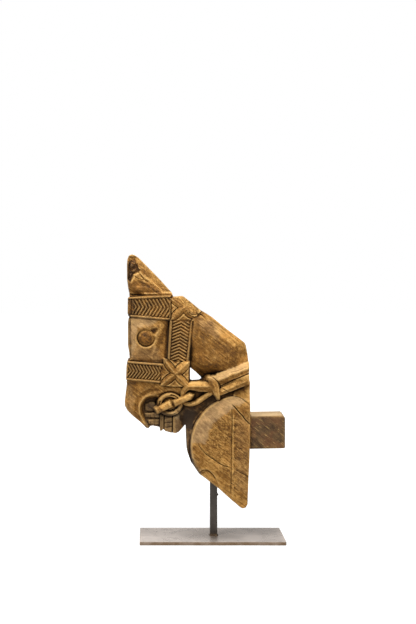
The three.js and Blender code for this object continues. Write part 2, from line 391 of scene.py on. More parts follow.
def insideDistance(x, z, outline):  # below zero inside a closed outline
    outline = np.asarray(outline, float)
    closed = np.vstack([outline, outline[:1]])
    distance = lineDistance(x, z, closed)[0]
    inside = np.zeros(distance.shape, bool)
    for (startX, startZ), (endX, endZ) in zip(closed, closed[1:]):
        if startZ != endZ:
            crosses = (startZ > z) != (endZ > z)
            inside ^= crosses & (x < startX + (z - startZ) * (endX - startX) / (endZ - startZ))
    return np.where(inside, -distance, distance)


def region(outline, margin):  # the part of the grid round an outline, and its distance from it
    part, x, z = window(outline, margin)
    return part, x, z, insideDistance(x, z, outline)


def raised(height, part, top):  # wood left standing up to a height
    height[part] = np.maximum(height[part], top)


def blended(height, part, shape, share):  # puts a shape in the place of what was there
    height[part] = height[part] * (1 - share) + shape * share


def roundOff(distance, radius):  # how far a rounded edge has dropped
    deep = np.clip(radius + distance, 0, radius)
    return radius - np.sqrt(np.maximum(radius ** 2 - deep ** 2, 0)) + np.maximum(distance, 0) * 4


def mound(height, outline, top, radius):
    part, _, _, edge = region(outline, 25)
    raised(height, part, top - roundOff(edge, radius))


def sink(height, outline, floor, slope):  # wood cut away down to a floor
    part, _, _, edge = region(outline, 20)
    height[part] = np.minimum(height[part], floor + np.maximum(edge, 0) * slope)


def groove(height, line, width, depth, fadeStart=0.02, fadeEnd=0.02):
    part, x, z = window(line, width + 2)
    distance, along = lineDistance(x, z, line)
    fade = smoothStep(-0.001, fadeStart, along) * smoothStep(-0.001, fadeEnd, 1 - along)
    height[part] -= depth * fade * (1 - smoothStep(0, width, distance))


def rod(height, line, radii, tops, flat=1.0, square=2.0, below=1.0):  # a cord or strap on the side
    part, x, z = window(line, max(radii) + 4)
    distance, along = lineDistance(x, z, line)
    radius = np.interp(along, np.linspace(0, 1, len(radii)), radii)
    top = np.interp(along, np.linspace(0, 1, len(tops)), tops)
    (startX, startZ), (endX, endZ) = line[0], line[-1]
    under = (x - startX) * (endZ - startZ) - (z - startZ) * (endX - startX) > 0
    radius = np.where(under, radius * below, radius)
    crown = np.maximum(1 - np.minimum(distance / radius, 1) ** square, 0) ** (1 / square)
    raised(height, part, top - radius * flat * (1 - crown) - np.maximum(distance - radius, 0) * 5)


def scratches(height, area, count, angle, length, width, depth, seed):  # seeded tool marks
    dice = np.random.default_rng(seed)
    outline = np.asarray(area, float)
    low, high = outline.min(0), outline.max(0)
    made = 0
    while made < count:
        centre = low + dice.random(2) * (high - low)
        if insideDistance(centre[:1], centre[1:], outline)[0] < 0:
            turn = math.radians(angle + dice.normal(0, 9))
            reach = length * (0.5 + dice.random()) / 2
            step = np.array([math.cos(turn), math.sin(turn)]) * reach
            bow = np.array([-step[1], step[0]]) * dice.normal(0, 0.06)
            line = [centre - step, centre + bow, centre + step]
            groove(height, line, width * (0.7 + 0.6 * dice.random()), depth * (0.4 + dice.random()),
                   0.4, 0.4)
            made += 1


# the outline of the timber, by stretches
outlineRuns = {
    "ear": [(-151.5, 538.6), (-156.5, 536), (-159.2, 529), (-159.8, 520), (-159.6, 492), (-157.4, 475)],
    "brow": [(-155.5, 466), (-155.5, 461), (-158, 457), (-158.5, 429), (-156.5, 421), (-158, 411)],
    "cheek": [(-158, 369), (-155.6, 356), (-154.6, 343), (-159.4, 338), (-160.6, 330), (-161.5, 306)],
    "nose": [(-160, 297), (-161.5, 285), (-164.2, 263), (-164, 254), (-159, 246.5), (-149, 236.4),
             (-136, 226.2)],
    "lip": [(-129.6, 220), (-124, 214), (-119.5, 213.2), (-115.5, 217), (-111, 217.5), (-99, 215)],
    "jaw": [(-98, 208.5), (-95, 209), (-92, 212), (-88, 208.5), (-77, 205.5), (-68, 204.5), (-62, 207)],
    "keel": [(-50.5, 219.5), (-48.5, 214), (-47.8, 190), (-46.6, 168), (-40.2, 150), (-30.6, 137),
             (-22.6, 126.4)],
    "chest": [(-7, 115), (13, 100.6), (34, 82), (51, 67.4), (56, 65), (61.5, 66.4), (65.2, 73)],
    "back": [(66.6, 112), (68.9, 160), (70.1, 250), (69.8, 298), (68, 306), (67.8, 334), (66.4, 350),
             (63.6, 367)],
    "crest": [(61.2, 372.6), (55, 377.5), (26, 399.5), (-1, 421.6), (-11, 427.7), (-22, 434),
              (-42, 450.5), (-54, 459.8)],
    "poll": [(-73, 458.4), (-76, 467), (-98, 491.4), (-115, 508.8), (-138, 532.2), (-146, 537.4)],
}
timberOutline = np.array(sum(outlineRuns.values(), []), float)

throat = {
    "hole": np.array([(-41.3, 326.5), (-18.6, 309.4), (-18.4, 307.4), (-21.5, 305.4), (-37, 304.2),
                      (-41.3, 305.2)]),
    "fall": -0.086, "face": -42, "under": 315,      # its lower side falls away towards the far side
    "across": (-60, 0), "up": (280, 345),           # the part of the block that it can reach
}

browBand = {"start": (-158, 440.3), "end": (-78, 438.6), "width": (35.5, 46.5), "pitch": 6.5,
            "top": 47.6, "lean": 0.57, "border": 3.6, "reach": (-6, 80), "from": 11}
noseBand = {"start": (-161, 322), "end": (-93, 316), "width": (35, 35.5), "pitch": 5.95,
            "top": 47.4, "lean": 0.66, "border": 3.6, "reach": (-6, 70), "from": 3}
cheekBand = {"start": (-64.6, 338), "end": (-58, 415.5), "width": (39, 43), "pitch": 6.0,
             "top": 47.8, "lean": 0.50, "border": 4.4, "reach": (0, 77.5), "from": -9}
chevrons = {"cut": 2.6, "frontCut": 2.0, "groove": 1.6, "frontDeep": 7, "frontHigh": 30, "corner": 3}


def bandPlace(x, z, band):  # how far along a band a place is, how far off its middle, its half width
    start, end = np.array(band["start"], float), np.array(band["end"], float)
    step = end - start
    length = np.hypot(*step)
    step = step / length
    along = (x - start[0]) * step[0] + (z - start[1]) * step[1]
    side = (z - start[1]) * step[0] - (x - start[0]) * step[1]
    return along, side, np.interp(along, [0, length], np.array(band["width"]) / 2)


def chevronCut(along, side, half, band):  # 1 in the cut between two chevrons, 0 on them
    inner = half - band["border"]
    phase = (along - band["lean"] * (inner - np.abs(side))) / band["pitch"]
    wave = 0.5 - 0.5 * np.cos(2 * np.pi * phase)
    return smoothStep(0.16, 0.74, wave) * (1 - smoothStep(-1.6, -0.2, np.abs(side) - inner))


def strap(height, band):
    part, x, z = window([band["start"], band["end"]], 32)
    along, side, half = bandPlace(x, z, band)
    start, end = band["reach"]
    off = np.abs(side)
    edge = np.maximum(off - half, np.maximum(start - along, along - end))
    inner = half - band["border"]
    body = band["top"] - roundOff(edge, 1.6) + smoothStep(-0.6, 0.6, off - inner) * 0.9
    body -= bell(off - inner + 0.4, 0.8) * 1.9
    ends = smoothStep(band["from"] - 1, band["from"] + 1, along) * (1 - smoothStep(end - 3, end - 1, along))
    body -= chevrons["cut"] * chevronCut(along, side, half, band) * ends
    share = 1 - smoothStep(-0.2, 1.2, edge)
    beside = bell(off - half - 1.2, 1.2) * (1 - smoothStep(end - 1, end + 1, along))
    blended(height, part, body, share)
    height[part] -= 0.8 * beside * smoothStep(start - 1, start + 1, along)


def rosette(height, tablet, middle, leaves, ground):  # leaves from the middle, islands between them
    part, x, z, edge = region(tablet, 8)
    clear = np.full(edge.shape, 99.0)
    blades = np.full(edge.shape, -99.0)
    start = np.array(middle, float)
    for (tipX, tipZ), wide, rise in leaves:
        step = np.array([tipX, tipZ]) - start
        length = np.hypot(*step)
        step /= length
        along = ((x - start[0]) * step[0] + (z - start[1]) * step[1]) / length
        side = np.abs((z - start[1]) * step[0] - (x - start[0]) * step[1])
        swell = np.clip(np.sin(np.pi * np.clip(along * 0.85 + 0.12, 0, 1)), 0, 1)
        half = wide / 2 * (0.30 + 0.70 * swell) * smoothStep(1.10, 0.84, along)
        gap = np.maximum(side - half, np.maximum(-along, along - 1) * length)
        clear = np.minimum(clear, gap)
        blade = ground + rise * (1 - 0.62 * np.clip(side / np.maximum(half, 0.5), 0, 1.4))
        blades = np.maximum(blades, blade - np.maximum(gap, 0) * 5)
    island = ground + 3.0 * smoothStep(1.0, 2.4, clear) - 1.6 * smoothStep(3, 7, clear)
    shape = np.maximum(blades, island)
    share = 1 - smoothStep(-0.6, 0.8, edge)
    blades -= np.maximum(edge, 0) * 1.0
    shape = shape * share + np.maximum(height[part], np.where(edge < 4, blades, -99)) * (1 - share)
    height[part] = shape - 1.8 * bell(edge - 0.8, 0.9) * (blades < ground + 1)


# carving one side: height is how far the wood stands out from the middle
breast = {"middle": (55, 180), "radius": 95.5, "line": 99.6}      # a thin raised line runs round it
eyeBall = {"middle": (-124, 383), "radius": 15.2, "top": 49.8, "fall": 5.8}
bitRing = {"middle": (-79.6, 258.6), "radius": 19.6, "squash": 0.90, "lines": (18.6, 20.8)}


def carveMasses(height):
    keel = [(-12, 285), (-70, 262), (-66, 222), (-66, 178), (-60, 158), (-44, 130), (-24, 108),
            (40, 84), (60, 180), (40, 270)]
    mound(height, keel, 34, 4)
    mound(height, [(-66, 296), (-64, 225), (-46, 210), (0, 200), (30, 270), (4, 298), (-22, 299)], 27, 4)
    mound(height, [(-52, 296), (-30, 270), (0, 262), (90, 262), (90, 340), (12, 315), (-24, 302)], 36, 6)
    web = [(-66, 270), (-56, 236), (-52, 222), (-44, 212), (-34, 214), (-26, 244), (-4, 268), (4, 284),
           (-40, 290)]
    sink(height, web, 30, 0.5)
    muzzle = [(-163, 312), (-165.5, 264), (-160, 245), (-138, 224), (-124, 212), (-96, 198), (-66, 196),
              (-58, 206), (-54, 226), (-51, 250), (-44, 312)]
    part, x, z, edge = region(muzzle, 25)
    top = 43 - 11 * smoothStep(-69, -50, x) * (1 - smoothStep(268, 296, z))    # the jaw turns in behind
    raised(height, part, top - roundOff(edge, 12))
    skull = [(-159, 470), (-159, 344), (-163, 336), (-163, 298), (-60, 294), (-44, 296), (-43, 340),
             (-36, 414), (-20, 433), (-54, 463), (-77, 470)]
    mound(height, skull, 45, 8)
    neck = [(-70, 476), (-21, 437), (12, 414), (56, 381), (68, 352), (110, 340), (110, 262), (36, 290),
            (4, 306), (-18, 309), (-48, 324), (-60, 345), (-64, 414)]
    part, x, z, edge = region(curveThrough([*neck, neck[0]], 4), 25)
    dome = 50 - 17 * (1 - smoothStep(-4, 30, -edge)) ** 1.3 - np.maximum(edge, 0) * 3
    throatLine = lineDistance(x, z, curveThrough([(-46, 352), (-40, 327), (-20, 308), (2, 306)]))[0]
    dome -= 10 * (1 - smoothStep(0, 40, throatLine)) ** 1.5
    overRein = lineDistance(x, z, [(-20, 312), (14, 316), (70, 340), (110, 356)])[0]
    dome -= 6.0 * (1 - smoothStep(0, 26, overRein)) ** 1.4
    raised(height, part, dome)
    chestEdge = circle(*breast["middle"], breast["radius"], 100, 212, 30)
    chest = [(110, 310), (44, 296), *chestEdge, (-14, 122), (13, 100), (55, 50), (110, 50)]
    part, x, z, edge = region(chest, 20)
    rim = -insideDistance(x, z, circle(*breast["middle"], breast["radius"], count=72))
    facet = 6.0 * (1 - smoothStep(0, 30, rim)) ** 1.2 * smoothStep(150, 205, z + 0.3 * x) + 1.2
    facet = np.where(x > 60, facet * (1 - smoothStep(60, 80, x)), facet)
    raised(height, part, 50 - facet - roundOff(edge, 4) - 4.5 * smoothStep(262, 292, z + 0.25 * (x - 40)))
    groove(height, circle(*breast["middle"], breast["line"], 128, 212, 24), 1.3, -1.4)


def carveEye(height):
    panel = curveThrough([(-170, 426), (-82, 425), (-81.5, 420), (-86, 345), (-90, 339.5), (-96, 338),
                          (-170, 338)], 2)
    part, x, z = window([(-160, 336), (-74, 426)], 2)
    edge = insideDistance(x, z, panel)
    crease = -107.3 + np.maximum(z - 361, -10) * 0.376      # past this line the panel slopes away
    slope = np.clip(0.40 * (x - crease), 0, 3.4)
    drop = np.where(z > 400, roundOff(edge, 2.5), roundOff(edge, 6))
    height[part] = height[part] - np.clip(drop, 0, 1.8) - slope
    lids = [(-97, 407), (-101, 392), (-109, 370), (-119, 358), (-136, 359), (-147, 372), (-149, 392),
            (-140, 403.5), (-122, 405.5), (-97, 407)]
    part, x, z = window(lids, 10)
    edge = insideDistance(x, z, curveThrough(lids))
    height[part] += 2.8 * (1 - smoothStep(-5, 6, edge))
    middleX, middleZ = eyeBall["middle"]
    part, x, z = window(circle(middleX, middleZ, eyeBall["radius"]), 10)
    away = np.hypot(x - middleX, z - middleZ)
    towardsBrow = ((x - middleX) * 0.5 + (z - middleZ) * 0.87) / np.maximum(away, 1)
    dome = eyeBall["top"] - eyeBall["fall"] * np.clip(away / eyeBall["radius"], 0, 1.3) ** 2.2
    blended(height, part, dome, 1 - smoothStep(14.4, 15.4, away))
    height[part] -= (4.3 - 2.9 * towardsBrow) * bell(away - 16.1, 1.3)
    tear = curveThrough([(-114, 397), (-104.5, 399), (-105.5, 393.5), (-109, 390), (-114, 397)], 3)
    sink(height, tear, 43.5, 1.3)
    frontLine = curveThrough([(-153.2, 418), (-154.2, 392), (-153.6, 366), (-151.6, 345)])
    groove(height, frontLine, 1.2, 1.8, 0.05, 0.05)
    groove(height, [(-132, 388), (-124, 387), (-117, 384), (-113, 385)], 0.9, 1.2, 0.3, 0.3)
    groove(height, [(-127, 392), (-126, 386), (-130, 380)], 0.8, 0.9, 0.3, 0.3)


def carveBridle(height):
    for band in (browBand, noseBand, cheekBand):
        strap(height, band)
    groove(height, [(-151, 457), (-151, 424)], 1.5, 1.6, 0.05, 0.05)
    noseTablet = [(-96, 294), (-73, 291.5), (-45.5, 292), (-44.5, 337), (-66, 338.5), (-89, 343),
                  (-97, 318)]
    rosette(height, noseTablet, (-69.5, 315.5), [
        ((-92, 345), 12.5, 7.0), ((-43.5, 339), 18, 7.4), ((-97, 294), 14, 6.4), ((-45.5, 292), 14, 6.6),
    ], 44.2)
    pollTablet = [(-76.5, 416), (-43, 414), (-21, 431.5), (-32, 443), (-55, 461.5), (-76.5, 459)]
    rosette(height, pollTablet, (-54, 439), [
        ((-78, 416), 14, 4.6), ((-28, 419), 17, 5.0), ((-80, 457), 11, 3.4), ((-30, 444), 12, 3.4),
    ], 44.8)
    part, x, z = window([(-80, 430), (-10, 466)], 2)  # the upper leaves are rubbed away
    over = (z - 440) * 0.80 + (x + 52) * 0.60
    rubbed = 47.4 - 0.30 * np.maximum(over, 0) + 0.12 * (height[part] - 47)
    share = smoothStep(-1, 4, over) * smoothStep(-74, -66, x + 0.6 * (z - 442))
    share = share * (1 - smoothStep(-1.5, 0.5, insideDistance(x, z, pollTablet)))
    blended(height, part, rubbed, share)
    crescent = (     # the two lines of the right leaf
        [(-50.5, 436), (-46, 428), (-39, 422.5), (-30, 422), (-20, 427)],
        [(-46, 433), (-40.5, 427.5), (-33, 426), (-25, 428.5)],
    )
    for leafEdge in crescent:
        groove(height, curveThrough(leafEdge), 1.4, 1.9, 0.2, 0.1)


def carveEar(height, broken):
    ear = [(-153, 545), (-164, 534), (-166, 486), (-160, 464), (-66, 459), (-74, 470), (-96, 495),
           (-130, 530), (-139, 540)]
    mound(height, ear, 41.5, 4)
    part, x, z = window([(-162, 460), (-66, 540)], 2)
    ridge = (x + 137) * 0.62 + (z - 506) * 0.78     # above this line lies the ear's back slope
    height[part] -= 5 * smoothStep(500, 540, z) + 2.6 * smoothStep(-1.0, 1.5, ridge) * (z < 535)
    height[part] -= 0.14 * np.clip(ridge, 0, 12)
    lobe = [(-158, 486), (-154, 494), (-148, 502.5), (-138, 504), (-122, 491), (-100, 477), (-78, 464),
            (-104, 463.5), (-137, 464), (-152, 472), (-158, 486)]
    part, x, z = window(lobe, 12)
    edge = insideDistance(x, z, curveThrough(lobe))
    raised(height, part, 43.5 - roundOff(edge, 9) - 1.6 * smoothStep(-2, -14, edge) * (z > 478))
    if broken:
        hollow = [(-153, 527), (-146, 529), (-141.5, 522), (-140.5, 518), (-138.5, 515), (-139, 511.5),
                  (-135, 509), (-139, 505.5), (-144, 503.5), (-148.5, 502), (-150.5, 495),
                  (-154, 488.5), (-157.5, 492), (-157, 515)]
        sink(height, hollow, 34, 3.0)
        part, x, z = window([(-158, 488), (-134, 530)], 2)
        inside = 1 - smoothStep(-4, 0, insideDistance(x, z, hollow))
        lumps = ((-151, 517, 4.0, 5), (-147, 507, 3.0, 3), (-145, 522, 2.5, 2.4), (-154, 500, 2.0, 3))
        rise = sum(high * bell(np.hypot(x - atX, z - atZ), wide) for atX, atZ, high, wide in lumps)
        height[part] += inside * rise
        groove(height, [(-139, 505), (-131, 496), (-123, 487)], 1.8, 2.6, 0.02, 0.4)
        groove(height, [(-148, 499), (-139, 493), (-128, 490), (-112, 486)], 1.6, 1.6, 0.1, 0.4)
        groove(height, [(-146, 488), (-133, 485), (-118, 481)], 1.6, 0.9, 0.2, 0.4)
        groove(height, [(-105, 490), (-90, 475.5), (-78, 464)], 0.8, 1.0, 0.3, 0.1)
    else:
        hollow = [(-152, 526), (-143, 512), (-141, 500), (-151, 490), (-156, 504), (-152, 526)]
        sink(height, curveThrough(hollow), 33, 0.9)
    notch = [(-166, 465), (-153, 470), (-145, 466), (-134, 463.5), (-150, 461.5), (-166, 461.5)]
    sink(height, notch, 37, 0.9)
    base = [(-162, 464.5), (-146, 463.2), (-136, 462.4), (-115, 462.8), (-90, 464), (-76, 465)]
    groove(height, base, 2.2, 4.4, 0.001, 0.9)
    rod(height, [(-126, 462.6), (-100, 464), (-76, 463.5)], [1.5, 4, 5], [40, 44.5, 45.5], 0.5, 2.0)


def carveMouth(height):
    fold = [(-84, 288), (-99, 286), (-115, 282.5), (-129, 276), (-139, 263), (-141.5, 246), (-138, 231)]
    groove(height, curveThrough(fold), 7, 3.4, 0.25, 0.3)
    lip = [(-86, 281), (-104, 279), (-120, 274), (-131.5, 262), (-135.5, 248), (-131.5, 235), (-118, 218)]
    rod(height, curveThrough(lip), [3.2, 4.0, 4.6, 5.0, 5.6, 6.2], [41.5, 44, 45, 44.8, 43.5, 41], 0.7, 1.6)
    opening = [(-106, 271), (-120, 268), (-129, 258), (-130.5, 246), (-127, 233), (-119, 220),
               (-112, 206), (-99, 205), (-98, 230), (-98, 252), (-101, 264), (-106, 271)]
    sink(height, curveThrough(opening), 32.5, 2.2)
    tongue = [(-126, 259), (-113, 263), (-101, 255), (-106, 247), (-124, 246), (-126, 259)]
    mound(height, curveThrough(tongue), 37.5, 4)
    for low, high, left in ((233, 242.5, -125), (220, 230, -119)):  # two rows of teeth
        mound(height, [(left, low + 1), (-99, low), (-98, high), (left - 2, high - 1)], 37.5, 3.4)
        for place in (-116, -108):
            groove(height, [(place, low - 1), (place + 1, high + 1)], 1.2, 1.2)
    mound(height, [(-98, 200), (-92.5, 200), (-91, 258), (-96.5, 258)], 41, 2)
    mound(height, [(-89.5, 198), (-76, 198), (-75.5, 250), (-89, 250)], 38.5, 2)
    for level in (216, 224.5, 233, 241.5):
        groove(height, [(-90, level - 1), (-75, level + 1)], 1.7, 2.0)
    for place in (-90.7, -75):
        groove(height, [(place, 196), (place + 0.5, 252)], 1.9, 4.2, 0.02, 0.1)
    jawEdge = curveThrough([(-72, 198), (-71, 226), (-67, 240), (-61, 250)])
    rod(height, jawEdge, [3.4, 3.2, 2.6], [41, 40.5, 36], 0.8)


def ringLine(radius, *sweep):
    return circle(0, 0, radius, *sweep) * [1, bitRing["squash"]] + bitRing["middle"]


def carveReins(height):
    middleX, middleZ = bitRing["middle"]
    away = np.hypot(gridX[:, None] - middleX, (gridZ[None, :] - middleZ) / bitRing["squash"])
    height -= 4.5 * bell(away - 14, 3.2) + 4.0 * bell(away - 25.2, 2.6)
    rod(height, ringLine(bitRing["radius"]), [3.3], [47.5], 0.9, 1.5)
    for radius in bitRing["lines"]:  # fine lines on the lower half of the ring
        groove(height, ringLine(radius, 200, 345, 20), 0.8, 0.9, 0.2, 0.2)
    upper = [(-55.5, 274), (-54.5, 281), (-50.5, 288), (-44, 292), (-32, 292.5), (-7, 292), (4, 293)]
    rod(height, curveThrough(upper), [3.6, 5.4, 7.4, 8.0, 8.0], [45, 49, 51, 51.5, 51], 0.72, 1.1, 1.2)
    lower = [(-56.5, 264), (-51, 260), (-43, 258.5), (-36, 259.5), (-28, 262.5), (-20, 268),
             (-11, 274.5), (2, 283)]
    rod(height, curveThrough(lower), [2.6, 3.4, 3.5, 3.7, 4.0], [43, 45, 45.5, 46], 0.9, 1.3)
    rod(height, [(-6, 304.5), (8, 303.5), (36, 313.7), (110, 345)], [4.5, 10.8, 11.2, 11, 10.2, 9.8, 9.6],
        [48.5, 51.5, 51.5, 51], 0.62, 1.08, 0.72)
    rod(height, [(8, 278.5), (36, 290.6), (110, 322.5)], [6.2, 7.4, 8.6, 8.8], [47, 49.5, 50, 49.5],
        0.62, 1.08, 0.88)
    mound(height, [(11, 289), (70, 314), (70, 320), (13, 297)], 44, 1)
    groove(height, [(14, 292), (38, 303.5), (66, 316), (80, 322)], 1.8, 3.5)
    groove(height, [(20, 273.5), (42, 283), (62, 291.5), (80, 299)], 3.6, 3.2, 0.1, 0.02)
    mound(height, [(-108.5, 252), (-103, 242), (-75.5, 254.5), (-80, 265)], 51.5, 2.2)
    mound(height, [(-73.5, 265.3), (-69.5, 255.5), (-41, 269), (-36.5, 275.5), (-43, 278.5)], 51, 2.2)
    sink(height, [(-79.4, 264.5), (-75.4, 255), (-70.3, 256), (-74.3, 265.4)], 46.5, 3)
    for line in ([(-110, 246.5), (-76, 260.5)], [(-74, 260.5), (-36, 276.5)]):  # upper edges cut at a slant
        part, x, z = window(line, 5)
        (startX, startZ), (endX, endZ) = line
        over = ((z - startZ) * (endX - startX) - (x - startX) * (endZ - startZ)) / math.dist(*line)
        height[part] -= 0.62 * np.clip(over, 0, 6) * (height[part] > 47) * (x < endX)
    keeper = [(-6, 306), (-1, 301.5), (3.2, 294), (6.5, 284), (9.3, 275), (10.5, 269.5)]
    rod(height, curveThrough(keeper), [3.6, 7.2, 6.8, 6.0, 4.6, 2.2], [51.5, 54, 54, 53.5, 52.5, 50],
        0.6, 1.3)
    groove(height, curveThrough([(5, 288), (8.6, 279), (10, 272)]), 1.0, 1.3, 0.3, 0.1)
    behind = [(-2, 309.5), (3.5, 306.5), (9.5, 301.5), (14, 294.5), (15.6, 287)]
    groove(height, curveThrough(behind), 1.5, 3.0, 0.1, 0.1)


def carveBack(height):  # the strip behind the arris
    groove(height, [(-26, 428), (12, 405), (54, 371)], 1.5, 1.5, 0.05, 0.05)
    part, x, z = window([(26, 60), (110, 290)], 2)
    height[part] -= 1.6 * smoothStep(35.0, 38.5, x) * (1 - smoothStep(240, 286, z))
    height[part] += 1.5 * bell(x - 38.2, 1.5) * (1 - smoothStep(232, 256, z))
    arris = [(35.6, 255), (36.4, 225), (35.4, 190), (35.2, 150), (33.8, 88)]
    groove(height, curveThrough(arris), 1.4, 2.2, 0.04, 0.04)


def weather(height):  # cracks, chips and tool marks, on the side that has them
    cracks = {
        "long": ([(-30, 194), (-25, 181), (-17, 171), (-9, 164), (4, 155), (16, 147), (32, 141)], 1.3, 3.0),
        "longEnd": ([(39, 139.5), (45, 136.5), (50, 132.5), (58, 128.5), (80, 116)], 1.1, 2.2),
        "upper": ([(31, 260), (38, 256.5), (44, 250.5), (50, 243), (57, 236), (61, 230), (80, 212)],
                  1.6, 4.0),
        "top": ([(30, 275), (44, 273), (53, 269.5), (61, 264), (80, 248)], 1.2, 2.4),
        "short": ([(44, 179.5), (50, 176.5), (57, 177.5)], 1.0, 1.6),
        "flakeEdge": ([(-25, 131), (-20, 135.5), (-10, 136), (-1, 129.5), (6, 119.5)], 1.5, 3.2),
        "rein": ([(18, 289), (26, 284), (33, 280)], 1.2, 3.2),
        "reinTop": ([(28, 317), (46, 321), (64, 329)], 1.0, 1.2),
        "neckScar": ([(16, 386), (28, 376), (36, 364)], 0.9, 1.0),
    }
    for line, width, depth in cracks.values():
        groove(height, curveThrough(line, 4), width, depth, 0.2, 0.06)
    part, x, z = window([(-34, 92), (14, 140)], 4)
    flake = curveThrough([(-24, 133), (-10, 135), (-1, 129), (6, 119), (12, 100), (-8, 100), (-32, 122),
                          (-24, 133)])
    height[part] -= 2.4 * (1 - smoothStep(-1.0, 1.0, insideDistance(x, z, flake)))
    marks = [  # area, count, angle, length, width, depth and seed
        ([(-6, 210), (10, 230), (30, 242), (34, 150), (4, 160), (-12, 190)], 90, -40, 6, 0.9, 0.8, 11),
        ([(-6, 212), (12, 228), (28, 226), (22, 196), (-8, 190)], 46, -38, 5.5, 1.0, 1.2, 21),
        ([(38, 250), (66, 230), (64, 90), (40, 100)], 60, -38, 6, 0.9, 0.9, 12),
        ([(37, 236), (44, 236), (42, 92), (35, 92)], 26, -36, 8, 1.2, 1.5, 17),
        ([(-20, 425), (50, 372), (60, 345), (0, 330), (-30, 370)], 40, -40, 26, 0.9, 0.35, 13),
        ([(-140, 515), (-84, 465), (-110, 468), (-138, 490)], 22, -47, 24, 0.9, 0.7, 14),
        ([(-40, 452), (-22, 434), (-50, 436), (-70, 458)], 26, -40, 10, 0.9, 0.8, 15),
        ([(-158, 300), (-100, 292), (-140, 262), (-158, 262)], 14, 60, 12, 1.0, 0.4, 16),
    ]
    for mark in marks:
        scratches(height, *mark)


def carveSide(near):
    height = np.full((len(gridX), len(gridZ)), 16.0)
    carveMasses(height)
    carveEye(height)
    carveEar(height, near)
    carveBridle(height)
    carveMouth(height)
    carveReins(height)
    carveBack(height)
    if near:
        weather(height)
    return height


# from the two carved sides to one closed mesh
block = {"step": 1.0, "low": (-168.0, -57.0, 60.0), "high": (140.0, 57.0, 542.0)}
cleft = {"bottom": 467.0, "half": 8.0, "flare": 0.09}   # between the ears
tenon = {
    "start": 50.0, "half": 39.0, "bottom": 174.4, "top": 236.0, "edge": 2.6,
    "worn": 6.5,                                # how far its upper end is worn round
    "skew": 0.035, "rise": 0.018,               # cut a little out of square
    "bare": 71.5,                               # it stands out of the timber from here
    # the two top values paint light on the faces that look up: paler and greyer there
    "tone": -0.31, "paintedTopLight": 0.44, "grey": 0.45, "topLitGrey": 0.4, "rough": 0.3, "sawn": 36,
    "knot": (109, -1), "knotSize": 2.6, "knotDark": 0.6,
}
socketRoom = 0.5            # kept clear round the post


def sampleMap(values, x, z):  # a value off the flat grid, between its points
    acrossGrid = np.clip((x - grid["left"]) / grid["step"], 0, values.shape[0] - 1.001)
    upGrid = np.clip((z - grid["low"]) / grid["step"], 0, values.shape[1] - 1.001)
    i, k = acrossGrid.astype(int), upGrid.astype(int)
    u, v = acrossGrid - i, upGrid - k
    return ((values[i, k] * (1 - u) + values[i + 1, k] * u) * (1 - v)
            + (values[i, k + 1] * (1 - u) + values[i + 1, k + 1] * u) * v)


def fromCorners(base, part, valueAt):  # mixes the values at the eight corners round each place
    total = np.zeros(len(base))
    for corner in np.ndindex(2, 2, 2):
        share = np.prod(np.where(np.array(corner) == 1, part, 1 - part), axis=1)
        total += share * valueAt(base + corner)
    return total


def sampleBlock(values, places):  # a value inside the block, between its points
    spot = (places - np.array(block["low"])) / block["step"]
    spot = np.clip(spot, 0, np.array(values.shape) - 1.001)
    base = spot.astype(int)
    return fromCorners(base, spot - base, lambda cells: values[tuple(cells.T)])


def roundedBox(x, y, z, low, high, edge):
    outside = [np.maximum(lowest - place, place - highest) + edge
               for place, lowest, highest in zip((x, y, z), low, high)]
    longest = np.maximum(np.maximum(outside[0], outside[1]), outside[2])
    corner = np.sqrt(sum(np.maximum(off, 0) ** 2 for off in outside))
    return np.minimum(longest, 0) + corner - edge


def cutThroat(field, xs, ys, zs):
    part = (slice(*np.searchsorted(xs, throat["across"])), slice(None),
            slice(*np.searchsorted(zs, throat["up"])))
    under = throat["hole"][:, 1:] < throat["under"]
    for index, depth in enumerate(ys):
        lowered = throat["hole"] + [0, 1] * np.array([throat["fall"] * (depth - throat["face"])]) * under
        hole = insideDistance(xs[part[0], None], zs[None, part[2]], lowered)
        field[part[0], index, part[2]] = np.maximum(field[part[0], index, part[2]], -hole)


def cutFront(field, xs, ys, zs):  # the chevrons run on round the front of the face
    for band in (browBand, noseBand):
        startX, startZ = band["start"]
        columns, rows = xs < startX + chevrons["frontDeep"], np.abs(zs - startZ) < chevrons["frontHigh"]
        fromCorner = band["top"] - np.abs(ys)
        across, up = np.meshgrid(-fromCorner, zs[rows], indexing="ij")
        side = up - startZ
        half = np.full(side.shape, band["width"][0] / 2)
        clear = fromCorner[:, None] > chevrons["corner"]
        cut = chevrons["frontCut"] * chevronCut(across, side, half, band) * clear
        cut += chevrons["groove"] * bell(np.abs(side) - half - 1.2, 1.2)
        field[np.ix_(columns, np.ones(len(ys), bool), rows)] += cut[None].astype(np.float32)


def tenonField(x, y, z):
    low = (tenon["start"], -tenon["half"], tenon["bottom"])
    high = (headHigh.x, tenon["half"], tenon["top"])
    endX = x - tenon["skew"] * (y + tenon["half"])
    topZ = z - tenon["rise"] * (x - 70)
    peg = roundedBox(endX, y, topZ, low, high, tenon["edge"])
    overX = np.maximum(endX - high[0] + tenon["worn"], 0)
    overZ = np.maximum(topZ - high[2] + tenon["worn"], 0)
    return np.maximum(peg, np.hypot(overX, overZ) - tenon["worn"])


